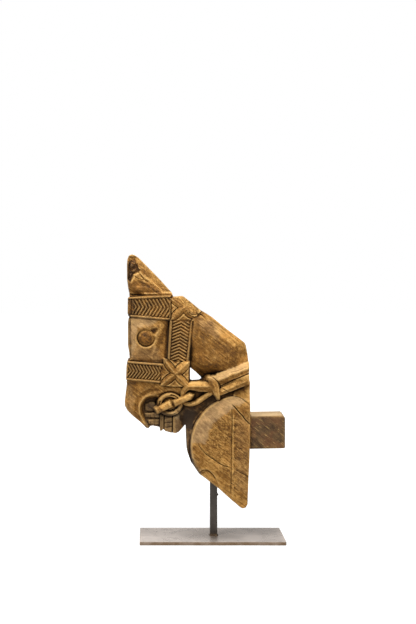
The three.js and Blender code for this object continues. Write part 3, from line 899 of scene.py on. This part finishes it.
def timberField(near, far):  # below zero inside the wood
    xs, ys, zs = (np.arange(low, high + 0.5, block["step"]).astype(np.float32)
                  for low, high in zip(block["low"], block["high"]))
    flatX, flatZ = np.meshgrid(xs, zs, indexing="ij")
    beyond = 20             # right of the grid there is only the tenon
    outline = np.where(flatX <= grid["right"], insideDistance(flatX, flatZ, timberOutline), beyond)
    outline = outline.astype(np.float32)
    heights = [np.minimum(sampleMap(side, flatX, flatZ), 60).astype(np.float32) for side in (near, far)]
    x, y, z = xs[:, None, None], ys[None, :, None], zs[None, None, :]
    field = np.where(y < 0, -y - heights[0][:, None, :], y - heights[1][:, None, :])
    field = np.maximum(field, outline[:, None, :])
    cutThroat(field, xs, ys, zs)
    cutFront(field, xs, ys, zs)

    lift = cleft["half"] + cleft["flare"] * np.maximum(z - cleft["bottom"], 0)
    field = np.maximum(field, -np.maximum(np.abs(y) - lift, cleft["bottom"] - z))
    field = np.minimum(field, tenonField(x, y, z))
    socket = np.maximum(np.abs(x - postMiddle), np.abs(y)) - (postHalf + socketRoom)
    socket = np.maximum(socket, z - postHigh.z - socketRoom)
    return np.maximum(field, -socket).astype(np.float32)


def surfaceNet(field):  # one point in each cell that the surface crosses, joined by quads
    inside = field < 0
    count = np.zeros(tuple(size - 1 for size in field.shape), np.uint8)
    for corner in np.ndindex(2, 2, 2):
        cut = tuple(slice(c, c - 1 or None) for c in corner)
        count += inside[cut]
    active = (count > 0) & (count < 8)
    cells = np.argwhere(active)
    number = np.full(active.shape, -1, np.int32)
    number[active] = np.arange(len(cells))
    place, crossings = np.zeros((len(cells), 3)), np.zeros(len(cells))
    corners = list(np.ndindex(2, 2, 2))
    for start in corners:
        for axis in range(3):
            if start[axis] == 0:
                end = tuple(c + (axis == a) for a, c in enumerate(start))
                first = field[tuple((cells + start).T)]
                last = field[tuple((cells + end).T)]
                crossed = (first < 0) != (last < 0)
                share = np.where(crossed, first / np.where(crossed, first - last, 1), 0)
                point = np.array(start) + share[:, None] * (np.array(end) - start)
                place += np.where(crossed[:, None], point, 0)
                crossings += crossed
    points = np.array(block["low"]) + (cells + place / crossings[:, None]) * block["step"]
    faces = []
    for axis in range(3):
        first = [slice(1, -1)] * 3
        last = [slice(1, -1)] * 3
        first[axis], last[axis] = slice(0, -1), slice(1, None)
        here, there = inside[tuple(first)], inside[tuple(last)]
        shift = np.ones(3, int)
        shift[axis] = 0
        for leaving in (True, False):
            edges = np.argwhere((here & ~there) if leaving else (~here & there)) + shift
            one, two = [np.eye(3, dtype=int)[(axis + turn) % 3] for turn in (1, 2)]
            ring = [edges - one - two, edges - two, edges, edges - one]
            quad = np.stack([number[tuple(cell.T)] for cell in ring], 1)
            faces.append(quad if leaving else quad[:, ::-1])
    return points, np.vstack(faces)


def blurred(values, radius, beyond):  # the mean over a square or a cube, taken twice
    for axis in range(values.ndim):
        for _ in range(2):
            pad = [(0, 0)] * values.ndim
            pad[axis] = (radius + 1, radius)
            total = np.cumsum(np.pad(values, pad, mode=beyond), axis=axis, dtype=values.dtype)
            start, end = [slice(None)] * values.ndim, [slice(None)] * values.ndim
            start[axis], end[axis] = slice(0, values.shape[axis]), slice(2 * radius + 1, None)
            values = (total[tuple(end)] - total[tuple(start)]) / (2 * radius + 1)
    return values


def latticeNoise(places, size, seed):  # soft seeded bumps from -1 to 1
    count = 32
    lattice = np.random.default_rng(seed).uniform(-1, 1, (count, count, count))
    spot = places / size
    base = np.floor(spot).astype(int)
    part = spot - base
    part = part * part * (3 - 2 * part)
    return fromCorners(base, part, lambda cells: lattice[tuple((cells % count).T)])


def alongGrain(places, stretch):
    turn = wood["grainTurn"]
    along = places[:, 0] * math.cos(turn) - places[:, 2] * math.sin(turn)
    across = places[:, 0] * math.sin(turn) + places[:, 2] * math.cos(turn)
    return np.stack([along / stretch, places[:, 1], across], 1)


def meshFrom(name, points, faces):
    mesh = bpy.data.meshes.new(name)
    mesh.vertices.add(len(points))
    mesh.vertices.foreach_set("co", np.asarray(points, np.float32).ravel())
    width = faces.shape[1]
    mesh.loops.add(faces.size)
    mesh.loops.foreach_set("vertex_index", faces.astype(np.int32).ravel())
    mesh.polygons.add(len(faces))
    mesh.polygons.foreach_set("loop_start", np.arange(0, faces.size, width, dtype=np.int32))
    mesh.update(calc_edges=True)
    mesh.validate()
    piece = bpy.data.objects.new(name, mesh)
    bpy.context.scene.collection.objects.link(piece)
    return piece


def readVectors(items, name):
    values = np.zeros(len(items) * 3, np.float32)
    items.foreach_get(name, values)
    return values.reshape(-1, 3).astype(float)


def applied(piece, kind, **settings):  # adds a modifier and keeps its result
    modifier = piece.modifiers.new(kind.title(), kind)
    for key, value in settings.items():
        setattr(modifier, key, value)
    bpy.context.view_layer.update()
    result = bpy.data.meshes.new_from_object(piece.evaluated_get(bpy.context.evaluated_depsgraph_get()))
    piece.modifiers.clear()
    old = piece.data
    piece.data = result
    bpy.data.meshes.remove(old)


def paintNumber(piece, name, values):
    layer = piece.data.attributes.new(name, "FLOAT", "POINT")
    layer.data.foreach_set("value", np.asarray(values, np.float32))


toneAreas = {  # outline, how much paler or darker, softness of its edge
    "frontEdge": ([(-159, 427), (-152.6, 427), (-151.2, 342), (-159, 342)], -0.30, 0.8),
    "earEdge": ([(-160, 526), (-153.6, 526), (-154.5, 468), (-160, 468)], -0.30, 0.8),
    "earLobe": ([(-154, 488), (-121, 487), (-102, 478), (-95, 466), (-137, 465), (-153, 473)], -0.20, 3),
    "earStep": ([(-149, 501), (-137, 506), (-122, 494), (-100, 478), (-121, 489), (-152, 490)], 0.09, 2),
    "earSlope": ([(-146, 536), (-134, 534), (-72, 466), (-84, 466), (-120, 496), (-136, 512)], 0.06, 4),
    "brow": ([(-162, 462), (-76, 464), (-76, 414), (-162, 420)], -0.25, 2),
    "browCorner": ([(-160, 462), (-140, 462), (-144, 422), (-160, 420)], -0.06, 8),
    "poll": ([(-76, 462), (-54, 462), (-18, 432), (-32, 414), (-76, 414)], -0.02, 4),
    "pollWorn": ([(-70, 458), (-54, 461), (-22, 433), (-50, 440)], 0.13, 3),
    "pollFan": ([(-54, 439), (-22, 433), (-24, 414), (-42, 414)], 0.04, 3),
    "tear": ([(-115, 397), (-105, 399), (-106, 393), (-110, 390)], -0.35, 1),
    # painted light on the upper left of the eye panel
    "eyePale": ([(-158, 424), (-90, 422), (-104, 402), (-144, 404), (-152, 350), (-158, 340)], 0.09, 8),
    # painted shade where the eye panel turns away on the right
    "eyeRightShade": ([(-87, 419), (-82, 422), (-86, 338), (-100, 338), (-108, 361)], -0.07, 3),
    "eyeCrease": ([(-98, 405), (-94.5, 403), (-105, 366), (-113, 353), (-110.5, 366), (-103.5, 388)],
                  0.16, 1.5),
    # painted shade on the lower part of the eye panel
    "eyeLow": ([(-156, 362), (-110, 362), (-90, 338), (-156, 338)], -0.06, 8),
    "eyeBall": (circle(-124, 382, 11), -0.38, 3),
    "cheek": ([(-86, 416), (-36, 418), (-38, 340), (-90, 340)], -0.23, 2),
    "nose": ([(-164, 340), (-92, 336), (-92, 298), (-164, 304)], -0.20, 2),
    "noseLeafPale": ([(-69, 316), (-56, 339), (-43, 338), (-44, 326)], 0.16, 1.5),
    "muzzle": ([(-164, 302), (-84, 294), (-96, 270), (-136, 224), (-160, 240)], -0.09, 6),
    "mouth": ([(-128, 268), (-106, 270), (-100, 254), (-80, 240), (-60, 242), (-52, 226), (-60, 200),
               (-126, 200)], -0.31, 2),
    "chin": ([(-74, 246), (-56, 246), (-54, 226), (-62, 200), (-74, 200)], 0.15, 3),
    "ring": (circle(-80, 258.6, 25), -0.12, 2),
    "ringTop": ([(-104, 262), (-96, 276), (-80, 280), (-62, 274), (-58, 262), (-72, 268), (-80, 271),
                 (-96, 258)], 0.07, 2),
    "strapEnd": ([(-109, 252), (-103, 241), (-75, 254), (-80, 266)], 0.12, 1.5),
    # painted light on the slanted upper facets of the straps
    "strapEdgeLight": ([(-107, 252), (-81, 264), (-43, 279), (-38, 276), (-76, 260), (-104, 247)], 0.14, 1.2),
    "earHollow": ([(-155, 529), (-145, 531), (-137, 510), (-148, 501), (-155, 488)], -0.44, 2),
    # painted shade in the recessed web between the ring and the chest
    "web": ([(-62, 250), (-43, 252), (-30, 254), (-14, 264), (4, 278), (12, 268), (-20, 246), (-42, 210),
             (-62, 222)], -0.36, 4),
    # painted shade on the ledge round the throat hole
    "holeEdgeShade": ([(-44, 306), (-18, 308), (-14, 303), (-38, 301.6), (-45, 303)], -0.6, 0.8),
    "keel": ([(-52, 246), (-32, 240), (-41, 200), (-39, 160), (-20, 126), (-30, 116), (-60, 160)],
             -0.40, 2),
    # painted shade where the neck turns under towards the throat
    "throat": ([(-44, 344), (-38, 378), (-8, 348), (26, 326), (4, 306), (-24, 306)], -0.20, 14),
    "strapShade": ([(-36, 420), (-24, 424), (-26, 396), (-36, 380)], -0.16, 5),
    # painted light on the crest that faces up, which is also partly rubbed pale
    "crest": ([(-26, 436), (56, 380), (60, 360), (46, 366), (-24, 418)], 0.12, 8),
    "neckMid": ([(-20, 410), (20, 390), (44, 356), (20, 336), (-10, 350), (-34, 380)], -0.08, 12),
    "neckBack": ([(40, 372), (66, 356), (68, 338), (30, 326), (10, 344)], -0.08, 12),
    # painted light on the reins' upper facets, painted shade on the lower facet
    "reinTopLight": ([(-9, 310), (66, 338), (66, 326), (12, 304)], 0.24, 1.5),
    "reinShade": ([(14, 304), (66, 325), (66, 317), (16, 296)], -0.02, 1.5),
    "lowerReinTopLight": ([(14, 291), (68, 315), (68, 304.5), (14, 282)], 0.14, 1.5),
    # painted shadow cast by the lower rein on the chest
    "underReinShadow": ([(14, 275), (70, 298), (70, 289), (36, 274), (12, 266)], -0.34, 2.5),
    # painted light on the hook's upper facet
    "hookTopLight": ([(-50, 292), (-45, 299), (-36, 301), (-8, 300.5), (-8, 292.5), (-44, 292)], 0.22, 1.2),
    "chestRim": ([(-38, 190), (-30, 226), (-6, 256), (34, 277), (70, 268), (60, 250), (34, 252),
                  (10, 230), (-7, 214), (-12, 188)], -0.02, 3),
    # painted light on the upper chest, which faces up
    "chestTopLight": ([(10, 276), (70, 296), (70, 250), (36, 256)], 0.12, 5),
    "chestLow": ([(-30, 150), (-12, 190), (34, 150), (34, 80), (-6, 112)], 0.03, 12),
    "flake": ([(-24, 131), (-10, 134), (-1, 127), (5, 117), (-14, 112), (-30, 124)], 0.14, 1.5),
    "strip": ([(40, 240), (70, 240), (68, 150), (39, 160)], -0.09, 4),
    "stripLow": ([(39, 150), (66, 146), (60, 70), (38, 86)], 0.02, 8),
    # painted highlight along the arris
    "arris": ([(37, 250), (41.0, 250), (39.6, 80), (35.6, 80)], 0.13, 2.4),
}
greyAreas = {
    "mouth": ([(-128, 262), (-108, 264), (-102, 242), (-80, 238), (-60, 244), (-60, 200), (-126, 200)],
              0.45, 2),
    "web": ([(-58, 250), (-43, 248), (-30, 251), (-14, 262), (4, 276), (12, 268), (-20, 246), (-42, 210),
             (-60, 226)], 0.35, 3),
    "keel": ([(-52, 250), (-34, 246), (-37, 200), (-36, 160), (-18, 124), (-30, 116), (-60, 160)], 0.40, 3),
    "eyeLow": ([(-154, 366), (-104, 362), (-92, 340), (-154, 340)], 0.20, 6),
    "eyePale": ([(-158, 424), (-96, 420), (-112, 404), (-142, 406), (-150, 350), (-158, 342)], 0.38, 6),
    "chestRim": ([(-40, 190), (-32, 226), (-6, 258), (36, 276), (66, 266), (40, 252), (14, 234),
                  (-7, 212), (-14, 184)], 0.42, 3),
    "strapEnd": ([(-110, 253), (-103, 239), (-40, 268), (-36, 280), (-46, 280)], -0.6, 1),
    "strip": ([(42, 236), (68, 236), (66, 90), (42, 100)], 0.10, 5),
    "noseFront": ([(-165, 300), (-151, 300), (-146, 238), (-160, 244)], 0.16, 5),
    "ringLow": ([(-104, 256), (-58, 262), (-56, 234), (-104, 234)], 0.35, 3),
    "neckTop": ([(-24, 424), (20, 398), (10, 380), (-30, 404)], 0.18, 5),
    # painted light: the rein tops drawn paler and greyer where light falls
    "reinTopsLight": ([(-9, 310), (66, 338), (66, 326), (12, 304)], 0.35, 2),
}
roughAreas = {
    "chest": ([(34, 250), (10, 230), (-7, 214), (-12, 180), (-6, 150), (35, 120)], 0.8, 6),
    "strip": ([(37, 240), (68, 250), (66, 120), (37, 100)], 0.5, 4),
    "poll": ([(-70, 462), (-52, 462), (-18, 432), (-28, 420), (-50, 440)], 0.45, 4),
    "muzzle": ([(-164, 302), (-84, 294), (-96, 270), (-136, 224), (-160, 240)], 0.05, 6),
    "neck": ([(-20, 420), (50, 374), (62, 344), (10, 330)], 0.25, 8),
    "brow": ([(-162, 462), (-76, 464), (-76, 414), (-162, 420)], 0.35, 3),
}


def wanderMap(seed):  # how far the edge of an area strays
    flat = np.stack(np.broadcast_arrays(gridX[:, None], 0.0, gridZ[None, :]), -1).reshape(-1, 3)
    stray = latticeNoise(flat, 9, seed) + 0.6 * latticeNoise(flat, 3.2, seed + 1)
    return stray.reshape(len(gridX), len(gridZ))


wander = [wanderMap(31), wanderMap(33)]


def painted(areas):
    values = np.zeros((len(gridX), len(gridZ)))
    for outline, amount, soft in areas.values():
        part, x, z = window(outline, 3 * soft)
        edge = insideDistance(x + wander[0][part] * soft, z + wander[1][part] * soft, outline)
        values[part] += amount * (1 - smoothStep(-0.7 * soft, 0.7 * soft, edge))
    return values


timberMesh = {
    "triangles": 194000,
    "settle": 1.2, "steepest": 2.5, "rim": 1.5,         # which points settle on the finer maps
    "fibres": (2.2, 0.16), "waves": (9, 0.28),          # size and depth of the uneven surface
    "stretch": 7,                                       # of the fibres, along the grain
    "flatIn": 12,                                       # nearer to the middle than this it stays even
}
patinaAndPaintedLight = {  # grime and painted shade from how much wood is round a point and how far it lies under its surroundings, pale rubbed edges, and painted light on faces that look up
    "near": 2, "wide": 8, "fine": 4,
    "shadeDirtNear": (0.59, 0.84), "shadeDirtUnder": (0.6, 2.6), "shadeDirtUnderShare": 0.9,
    # painted shade in wide hollows, by the share of wood round a point
    "hollowShadeWide": (0.56, 0.82),
    "wornNear": (0.42, 0.26), "wornUnder": (-0.25, -1.2), "wornUnderShare": 0.8,
    # painted light: how much paler the faces that look up are drawn
    "paintedTopLight": 0.16,
}


def offSides(maps, places):  # reads the map of the side that each place is on
    near, far = (sampleMap(values, places[:, 0], places[:, 2]) for values in maps)
    return np.where(places[:, 1] < 0, near, far)


def settled(points, maps):  # moves the points of the two sides onto the finer maps, and roughens them
    steep = offSides([np.hypot(*np.gradient(values, grid["step"])) for values in maps], points)
    off = offSides(maps, points) - np.abs(points[:, 1])
    inside = insideDistance(points[:, 0], points[:, 2], timberOutline) < -timberMesh["rim"]
    moves = (np.abs(off) < timberMesh["settle"]) & (steep < timberMesh["steepest"]) & inside
    moves &= points[:, 0] < grid["right"]
    points[moves, 1] += (np.sign(points[:, 1]) * off)[moves]
    (fibreSize, fibreDepth), (waveSize, waveDepth) = timberMesh["fibres"], timberMesh["waves"]
    rough = latticeNoise(alongGrain(points, timberMesh["stretch"]), fibreSize, 1) * fibreDepth
    rough += latticeNoise(points, waveSize, 2) * waveDepth
    points[:, 1] += rough * (np.abs(points[:, 1]) > timberMesh["flatIn"]) * np.sign(points[:, 1])
    return points


def paintTimber(piece, field, maps):
    places = readVectors(piece.data.vertices, "co") / mm
    x, y, z = places.T
    solid = (field < 0).astype(np.float32)
    near, wide = (sampleBlock(blurred(solid, patinaAndPaintedLight[reach], "constant"), places)
                  for reach in ("near", "wide"))
    onSide = (np.abs(np.abs(y) - offSides(maps, places)) < 2) & (x < grid["right"])
    under = offSides([blurred(values, patinaAndPaintedLight["fine"], "edge") - values for values in maps], places)
    under = np.where(onSide, under, 0)
    dirtAndShade = smoothStep(*patinaAndPaintedLight["shadeDirtUnder"], under) * patinaAndPaintedLight["shadeDirtUnderShare"]
    worn = smoothStep(*patinaAndPaintedLight["wornUnder"], under) * patinaAndPaintedLight["wornUnderShare"]
    # grime together with painted shade: darker where much wood lies round a point and where it sits under
    # its surroundings
    paintNumber(piece, "grime", np.maximum(smoothStep(*patinaAndPaintedLight["shadeDirtNear"], near), dirtAndShade))
    # painted shade in the wide hollows, from how much wood lies round a point
    paintNumber(piece, "hollow", smoothStep(*patinaAndPaintedLight["hollowShadeWide"], wide))
    paintNumber(piece, "worn", np.clip(smoothStep(*patinaAndPaintedLight["wornNear"], near) + worn, 0, 1))

    onTimber = x < tenon["bare"]
    upward = np.maximum(readVectors(piece.data.vertices, "normal")[:, 2], 0) ** 2
    toneMap, greyMap, roughMap = (sampleMap(painted(areas), x, z)
                                  for areas in (toneAreas, greyAreas, roughAreas))
    knotX, knotY = tenon["knot"]
    knot = bell(np.hypot(x - knotX, y - knotY), tenon["knotSize"]) * (upward > 0.5)
    # painted light: faces that look up are drawn paler, as if lit from above
    tone = np.where(onTimber, toneMap, tenon["tone"]) - tenon["knotDark"] * knot
    paintedLight = np.where(onTimber, patinaAndPaintedLight["paintedTopLight"], tenon["paintedTopLight"])
    paintNumber(piece, "tone", tone + paintedLight * upward)
    # on the tenon the faces that look up are also painted greyer, as lit from above
    grey = np.where(onTimber, np.clip(greyMap, 0, 1), tenon["grey"] + tenon["topLitGrey"] * upward)
    paintNumber(piece, "grey", grey)
    paintNumber(piece, "rough", np.where(onTimber, roughMap, tenon["rough"]))
    paintNumber(piece, "sawn", np.where(onTimber, 0.0, 1.0) * (np.abs(y) > tenon["sawn"]))


def makeTimber():
    maps = [carveSide(True), carveSide(False)]
    print("sides carved")
    field = timberField(*maps)
    points, faces = surfaceNet(field)
    print("surface found:", len(points), "points")
    piece = meshFrom("carvedHorse", settled(points, maps) * mm, faces)
    applied(piece, "TRIANGULATE")
    faceCount = len(piece.data.polygons)
    applied(piece, "DECIMATE", ratio=min(1, timberMesh["triangles"] / faceCount))
    print("timber:", faceCount, "triangles, kept", len(piece.data.polygons))
    piece.data.polygons.foreach_set("use_smooth", np.ones(len(piece.data.polygons), bool))
    paintTimber(piece, field, maps)
    piece.data.materials.append(agedWood())
    return piece


bar = {
    "corner": 0.9, "levels": 48,
    "room": 0.1,                # kept clear of the plate, and off each side
    "thinning": 0.006,          # how uneven the bar is, as a share of its width
    "rustHigh": 7, "footRust": 0.8, "beadRust": 0.25, "weldRust": 0.9,
    "beadHigh": 5.5, "beadAt": 83.0, "beadRings": 12, "beadSides": 16,
    "footWeld": 2.0, "footRings": 6,
}
sheetMetal = {
    "corner": 2.5, "bevel": 0.3, "spacing": 4.0,
    "wave": 0.35, "bend": 0.35,         # how uneven its edge and its face are
    "trim": 1.8, "face": 12,            # rings in from the edge
    "rustFrom": -2.2, "rustTo": -1.0,   # below zero inside the edge
}


def loft(rings):  # quads between closed rings, with a flat end on the first and last
    count = len(rings[0])
    points = np.vstack(rings)
    faces = []
    for level in range(len(rings) - 1):
        for index in range(count):
            following = (index + 1) % count
            faces.append((level * count + index, level * count + following,
                          (level + 1) * count + following, (level + 1) * count + index))
    ends = [tuple(range(count))[::-1], tuple(range((len(rings) - 1) * count, len(rings) * count))]
    return points, faces, ends


def roundedSquare(halfX, halfY, corner, perCorner=5):
    points = []
    for turn, (signX, signY) in enumerate(((1, 1), (-1, 1), (-1, -1), (1, -1))):
        for angle in np.radians(np.linspace(turn * 90, turn * 90 + 90, perCorner)):
            points.append((signX * (halfX - corner) + corner * math.cos(angle),
                           signY * (halfY - corner) + corner * math.sin(angle)))
    return np.array(points)


def pieceFrom(name, points, faces, finish):
    mesh = bpy.data.meshes.new(name)
    mesh.from_pydata([tuple(point) for point in np.asarray(points) * mm], [],
                     [tuple(face) for face in faces])
    mesh.update()
    piece = bpy.data.objects.new(name, mesh)
    bpy.context.scene.collection.objects.link(piece)
    piece.data.materials.append(finish)
    return piece


def makePost():
    half = postHalf - bar["room"]
    dice = np.random.default_rng(5)
    rings = []
    for level in np.linspace(plateHigh.z + bar["room"], postHigh.z, bar["levels"]):
        section = roundedSquare(half, half, bar["corner"]) * (1 - dice.random() * bar["thinning"])
        rings.append(np.column_stack([section[:, 0] + postMiddle, section[:, 1],
                                      np.full(len(section), level)]))
    points, faces, ends = loft(rings)
    piece = pieceFrom("squarePost", points, faces + ends, darkSteel())
    height = readVectors(piece.data.vertices, "co")[:, 2] / mm
    nearFoot = smoothStep(plateHigh.z + bar["rustHigh"], plateHigh.z, height)
    paintNumber(piece, "rust", nearFoot * bar["footRust"])
    return piece


def makeBead():  # a small lump of weld left on the post, just under the wood
    faceX = postMiddle + postHalf
    reach = postHigh.x - faceX
    high = bar["beadHigh"]
    turns = np.linspace(0, 2 * math.pi, bar["beadSides"], endpoint=False)
    rings = []
    for share in np.linspace(0.02, 0.98, bar["beadRings"]):
        angle = math.pi * share
        radius = math.sin(angle)
        rings.append(np.column_stack([
            np.full(len(turns), faceX - reach * 0.35 - math.cos(angle) * reach * 1.3),
            radius * high * 0.62 * np.cos(turns),
            bar["beadAt"] + radius * high * 0.5 * np.sin(turns),
        ]))
    points, faces, ends = loft(rings)
    points[:, 0] = np.minimum(points[:, 0], postHigh.x)
    points[:, 1:] += np.column_stack([latticeNoise(points, 2.0, 7), latticeNoise(points, 2.0, 8)]) * 0.3
    piece = pieceFrom("weldBead", points, faces + ends, darkSteel())
    paintNumber(piece, "rust", np.full(len(points), bar["beadRust"]))
    applied(piece, "SUBSURF", levels=1)
    return piece


def makeFootWeld():  # a thin fillet round the foot of the post
    size = bar["footWeld"]
    clear = 0.02
    inner = postHalf + clear
    rings = []
    for share in np.linspace(0, 1, bar["footRings"]):
        out = size * (1 - math.sin(share * math.pi / 2))
        up = size * (1 - math.cos(share * math.pi / 2))
        section = roundedSquare(inner + out, inner + out, bar["corner"] + out, 9)
        flat = np.column_stack([section, np.zeros(len(section))])
        ripple = 0.18 * latticeNoise(flat, 2.4, 9) * (0.3 + out / size)
        away = section * (1 + ripple[:, None] / postHalf)
        level = np.full(len(away), plateHigh.z + up + clear)
        rings.append(np.column_stack([away[:, 0] + postMiddle, away[:, 1], level]))
    points, faces, ends = loft(rings)
    piece = pieceFrom("footWeld", points, faces + ends, darkSteel())
    paintNumber(piece, "rust", np.full(len(points), bar["weldRust"]))
    return piece


def makePlate():
    halfX, halfY = (plateHigh.x - plateLow.x) / 2, (plateHigh.y - plateLow.y) / 2
    thick, bevel = plateHigh.z - plateLow.z, sheetMetal["bevel"]
    base = roundedSquare(halfX, halfY, sheetMetal["corner"], 6)
    closed = np.vstack([base, base[:1]])
    outline = []
    for start, end in zip(closed, closed[1:]):
        steps = max(1, int(np.hypot(*(end - start)) / sheetMetal["spacing"]))
        outline.extend(start + (end - start) * share for share in np.arange(steps) / steps)
    outline = np.array(outline)
    flat = np.column_stack([outline, np.zeros(len(outline))])
    ragged = latticeNoise(flat, 11, 21) * 0.6 + latticeNoise(flat, 4, 22) * 0.4
    bend = sheetMetal["bend"] * (latticeNoise(flat, 60, 23) * 0.5 + 0.5)
    edgeRings = [(bevel, 0), (0.15, bevel * 0.6), (0, thick / 2), (0.2, thick - bevel * 0.7),
                 (bevel, thick)]
    rings = []
    for inset, level in (*edgeRings, (sheetMetal["trim"], thick), (sheetMetal["face"], thick)):
        outer = inset < sheetMetal["face"]
        shape = outline * (1 - inset / np.array([halfX, halfY]))
        shape = shape - np.sign(outline) * sheetMetal["wave"] * (0.5 + 0.5 * ragged)[:, None] * outer
        rings.append(np.column_stack([shape, plateLow.z + level + bend * outer]))
    points, faces, ends = loft(rings)
    piece = pieceFrom("basePlate", points, faces + ends, greySteel())
    x, y, _ = (readVectors(piece.data.vertices, "co") / mm).T
    edge = np.maximum(np.abs(x) - halfX, np.abs(y) - halfY)
    paintNumber(piece, "rust", smoothStep(sheetMetal["rustFrom"], sheetMetal["rustTo"], edge))
    return piece


addCamera()
addLights()
addSky()
bpy.context.scene.view_settings.view_transform = "Standard"
floor = addFloor()
print("studio set")

timber = makeTimber()
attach(timber, "root")
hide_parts("carved_head")

post, weldBead, footWeld = makePost(), makeBead(), makeFootWeld()
for part in (post, weldBead, footWeld):
    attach(part, "root")
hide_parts("post")

plate = makePlate()
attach(plate, "root")
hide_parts("base_plate")
print("stand made")
